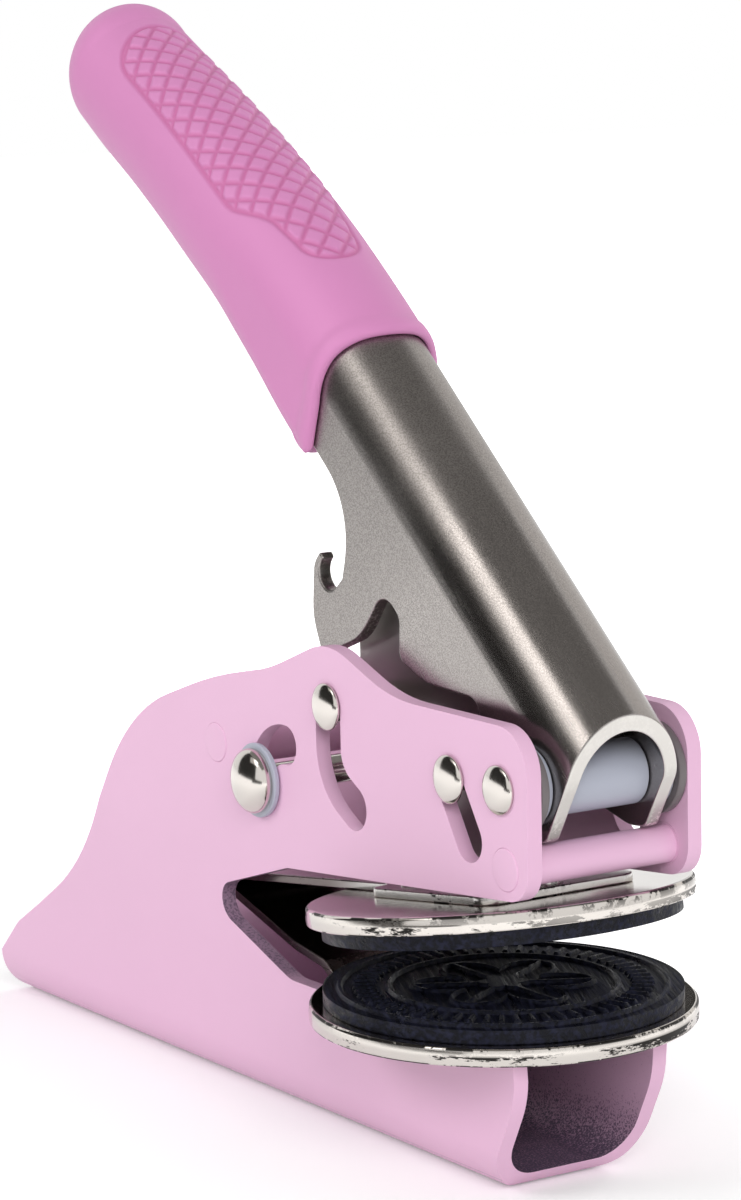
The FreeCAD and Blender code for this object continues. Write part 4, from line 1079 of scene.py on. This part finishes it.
def card(name, centre, facing, width, height, shade, roll=0.0, fade=None):
    """A glowing card that only polished surfaces see, square to the way it faces.

    It has one shade, or loses most of it along the way that fade gives.
    """
    turn = Vector(facing).to_track_quat("Z", "Y").to_matrix() @ Matrix.Rotation(math.radians(roll), 3, "Z")
    corners = [(-0.5, -0.5), (0.5, -0.5), (0.5, 0.5), (-0.5, 0.5)]
    points = np.array([Vector(centre) + turn @ Vector((x * width, y * height, 0)) for x, y in corners])
    mesh = bpy.data.meshes.new(name)
    mesh.from_pydata(points.tolist(), [], [(0, 1, 2, 3)])
    material, nodes, place = new_finish(name)
    nodes.tree.nodes.remove(nodes.tree.nodes["Principled BSDF"])
    glow = nodes.new("ShaderNodeEmission")
    nodes.feed(glow, "Color", (shade * 1.03, shade, shade * 0.97, 1.0))
    if fade:
        middle = Vector(centre).dot(Vector(fade))
        along = nodes.dot(place, fade)
        nodes.feed(glow, "Strength", nodes.spread(along, middle - 0.12, middle + 0.06, 1.0, 0.16))
    nodes.feed(nodes.tree.nodes["Material Output"], "Surface", glow.outputs[0])
    mesh.materials.append(material)
    piece = placed_object(name, mesh)
    piece.visible_camera = False
    piece.visible_diffuse = False
    piece.visible_shadow = False
    piece.visible_transmission = False


def background_rays(nodes, mirrored):
    """1 for the camera's rays and this share for polished and clear surfaces' rays."""
    path = nodes.new("ShaderNodeLightPath").outputs
    other = nodes.larger(path["Is Glossy Ray"], path["Is Transmission Ray"])
    return nodes.larger(path["Is Camera Ray"], nodes.times(other, mirrored))


def make_world():
    """White for the camera and for polished and clear surfaces, softer for the light it gives."""
    world = bpy.data.worlds.new("studio")
    bpy.context.scene.world = world
    world.use_nodes = True
    nodes = Nodes(world.node_tree)
    back = world.node_tree.nodes["Background"]
    nodes.feed(back, "Color", (1.0, 1.0, 1.0, 1.0))
    nodes.feed(back, "Strength", nodes.spread(background_rays(nodes, 1.0), 0.0, 1.0, 0.47, 1.0))


# the strip of floor under the base, along x
BASE_MIDDLE = -0.048
BASE_HALF = 0.066


def make_floor():
    """Pale floor, a flat grid that keeps the object's soft shadow.

    It glows a little, more so away from the strip that the base stands on: away is the distance
    to a line from BASE_MIDDLE - BASE_HALF to BASE_MIDDLE + BASE_HALF along x.
    """
    count, half, drop = 13, 3.0, 0.02 * MM
    edge = np.linspace(-half, half, count)
    x, y = np.meshgrid(edge, edge, indexing="ij")
    points = np.stack([x, y, 0 * x - drop], -1)
    mesh = bpy.data.meshes.new("floor")
    mesh.from_pydata(points.reshape(-1, 3).tolist(), [], grid_faces(count, count, round_columns=False).tolist())
    material, nodes, place = new_finish("pale_floor")
    shader = nodes.tree.nodes["Principled BSDF"]
    nodes.feed(shader, "Base Color", (0.90, 0.90, 0.90, 1.0))
    nodes.feed(shader, "Roughness", 0.9)
    nodes.feed(shader, "Specular IOR Level", 0.0)
    nodes.feed(shader, "Emission Color", (1.0, 1.0, 1.0, 1.0))
    x, y, _ = nodes.split(place)
    beyond = nodes.larger(nodes.minus(nodes.magnitude(nodes.minus(x, BASE_MIDDLE)), BASE_HALF), 0.0)
    away = nodes.math("SQRT", nodes.plus(nodes.times(beyond, beyond), nodes.times(y, y)))
    glow = nodes.spread(away, 0.015, 0.20, 0.20, 1.0)
    nodes.feed(shader, "Emission Strength", nodes.times(background_rays(nodes, 0.55), glow))
    mesh.materials.append(material)
    floor = placed_object("floor", mesh)


def make_camera():
    """Camera at the photograph's view: 56.85 degrees round, 8.84 up, rolled a little."""
    azimuth, elevation, roll = (math.radians(angle) for angle in (56.85, 8.84, -1.12))
    right = Vector((math.cos(azimuth), math.sin(azimuth), 0))
    back = Vector((math.sin(azimuth) * math.cos(elevation), -math.cos(azimuth) * math.cos(elevation),
                   math.sin(elevation)))
    up = back.cross(right)
    right_rolled = right * math.cos(roll) + up * math.sin(roll)
    up_rolled = up * math.cos(roll) - right * math.sin(roll)
    aside, height, distance = -0.01636, 0.07444, 0.5
    target = right * aside + Vector((0, 0, height))
    lens = bpy.data.cameras.new("camera")
    lens.sensor_fit = "VERTICAL"
    lens.sensor_height = 24
    lens.lens = 77.86
    lens.clip_start = 0.01
    lens.clip_end = 20
    camera = placed_object("camera", lens)
    turn = Matrix((right_rolled, up_rolled, back)).transposed().to_4x4()
    camera.matrix_world = Matrix.Translation(target + back * distance) @ turn
    bpy.context.scene.camera = camera


class EMBOSSER_OT_stage(Builder):
    """Floor, soft lamps, cards for the reflections and the camera"""

    bl_idname = "embosser.stage"
    bl_label = "Stage"

    def make(self):
        bpy.context.scene.view_settings.view_transform = "Standard"
        make_world()
        make_floor()
        make_camera()
        area_lamp("key", (-0.35, -1.0, 0.70), (0, 0, 0.06), 0.55, 0.45, 4.6)
        area_lamp("front", (1.1, -0.5, 0.7), (0, 0, 0.06), 0.7, 0.6, 8.2)
        area_lamp("far", (-0.1, 1.1, 0.7), (0, 0, 0.06), 0.7, 0.5, 5.0)
        card("card_over", (0.05, 0.06, 0.95), (0, 0, -1), 1.7, 1.62, 0.24)
        card("card_side", (-0.415, -0.66, 0.41), (0.52, 0.82, -0.3), 0.95, 0.90, 0.03)
        card("card_key", (-0.13, -0.50, 0.55), (0.11, 0.49, -0.46), 0.46, 0.25, 3.6, roll=-19.0,
             fade=(-0.90, -0.30, -0.33))
        card("card_low", (0.06, -0.42, 0.02), (0, 1, 0), 0.42, 0.07, 0.08)
        card("card_far", (-0.25, 1.3, 0.65), (0.1, -1.0, -0.3), 1.6, 0.9, 0.85)
        card("card_rear", (-0.80, 0.47, 0.32), (0.85, -0.5, -0.2), 0.42, 0.38, 0.05)


OPERATORS = (EMBOSSER_OT_frame, EMBOSSER_OT_spacers, EMBOSSER_OT_pins, EMBOSSER_OT_lever, EMBOSSER_OT_grip,
             EMBOSSER_OT_arm, EMBOSSER_OT_insert, EMBOSSER_OT_stage)


class EMBOSSER_PT_panel(bpy.types.Panel):
    """Sidebar panel with the steps, sizes and colours"""

    bl_idname = "EMBOSSER_PT_panel"
    bl_label = "Seal embosser"
    bl_space_type = "VIEW_3D"
    bl_region_type = "UI"
    bl_category = "Embosser"

    def draw(self, context):
        for group in (context.scene.embosser_sizes, context.scene.embosser_colours):
            for name in group.bl_rna.properties.keys():
                if name not in ("rna_type", "name"):
                    self.layout.prop(group, name)
        for operator in OPERATORS:
            self.layout.operator(operator.bl_idname)


CLASSES = (EmbosserSizes, EmbosserColours, *OPERATORS, EMBOSSER_PT_panel)


def register():
    for item in CLASSES:
        bpy.utils.register_class(item)
    bpy.types.Scene.embosser_sizes = PointerProperty(type=EmbosserSizes)
    bpy.types.Scene.embosser_colours = PointerProperty(type=EmbosserColours)


def unregister():
    del bpy.types.Scene.embosser_sizes
    del bpy.types.Scene.embosser_colours
    for item in reversed(CLASSES):
        bpy.utils.unregister_class(item)


def main():
    register()
    for operator in OPERATORS:
        group, name = operator.bl_idname.split(".")
        getattr(getattr(bpy.ops, group), name)()


if __name__ == "__main__":
    main()
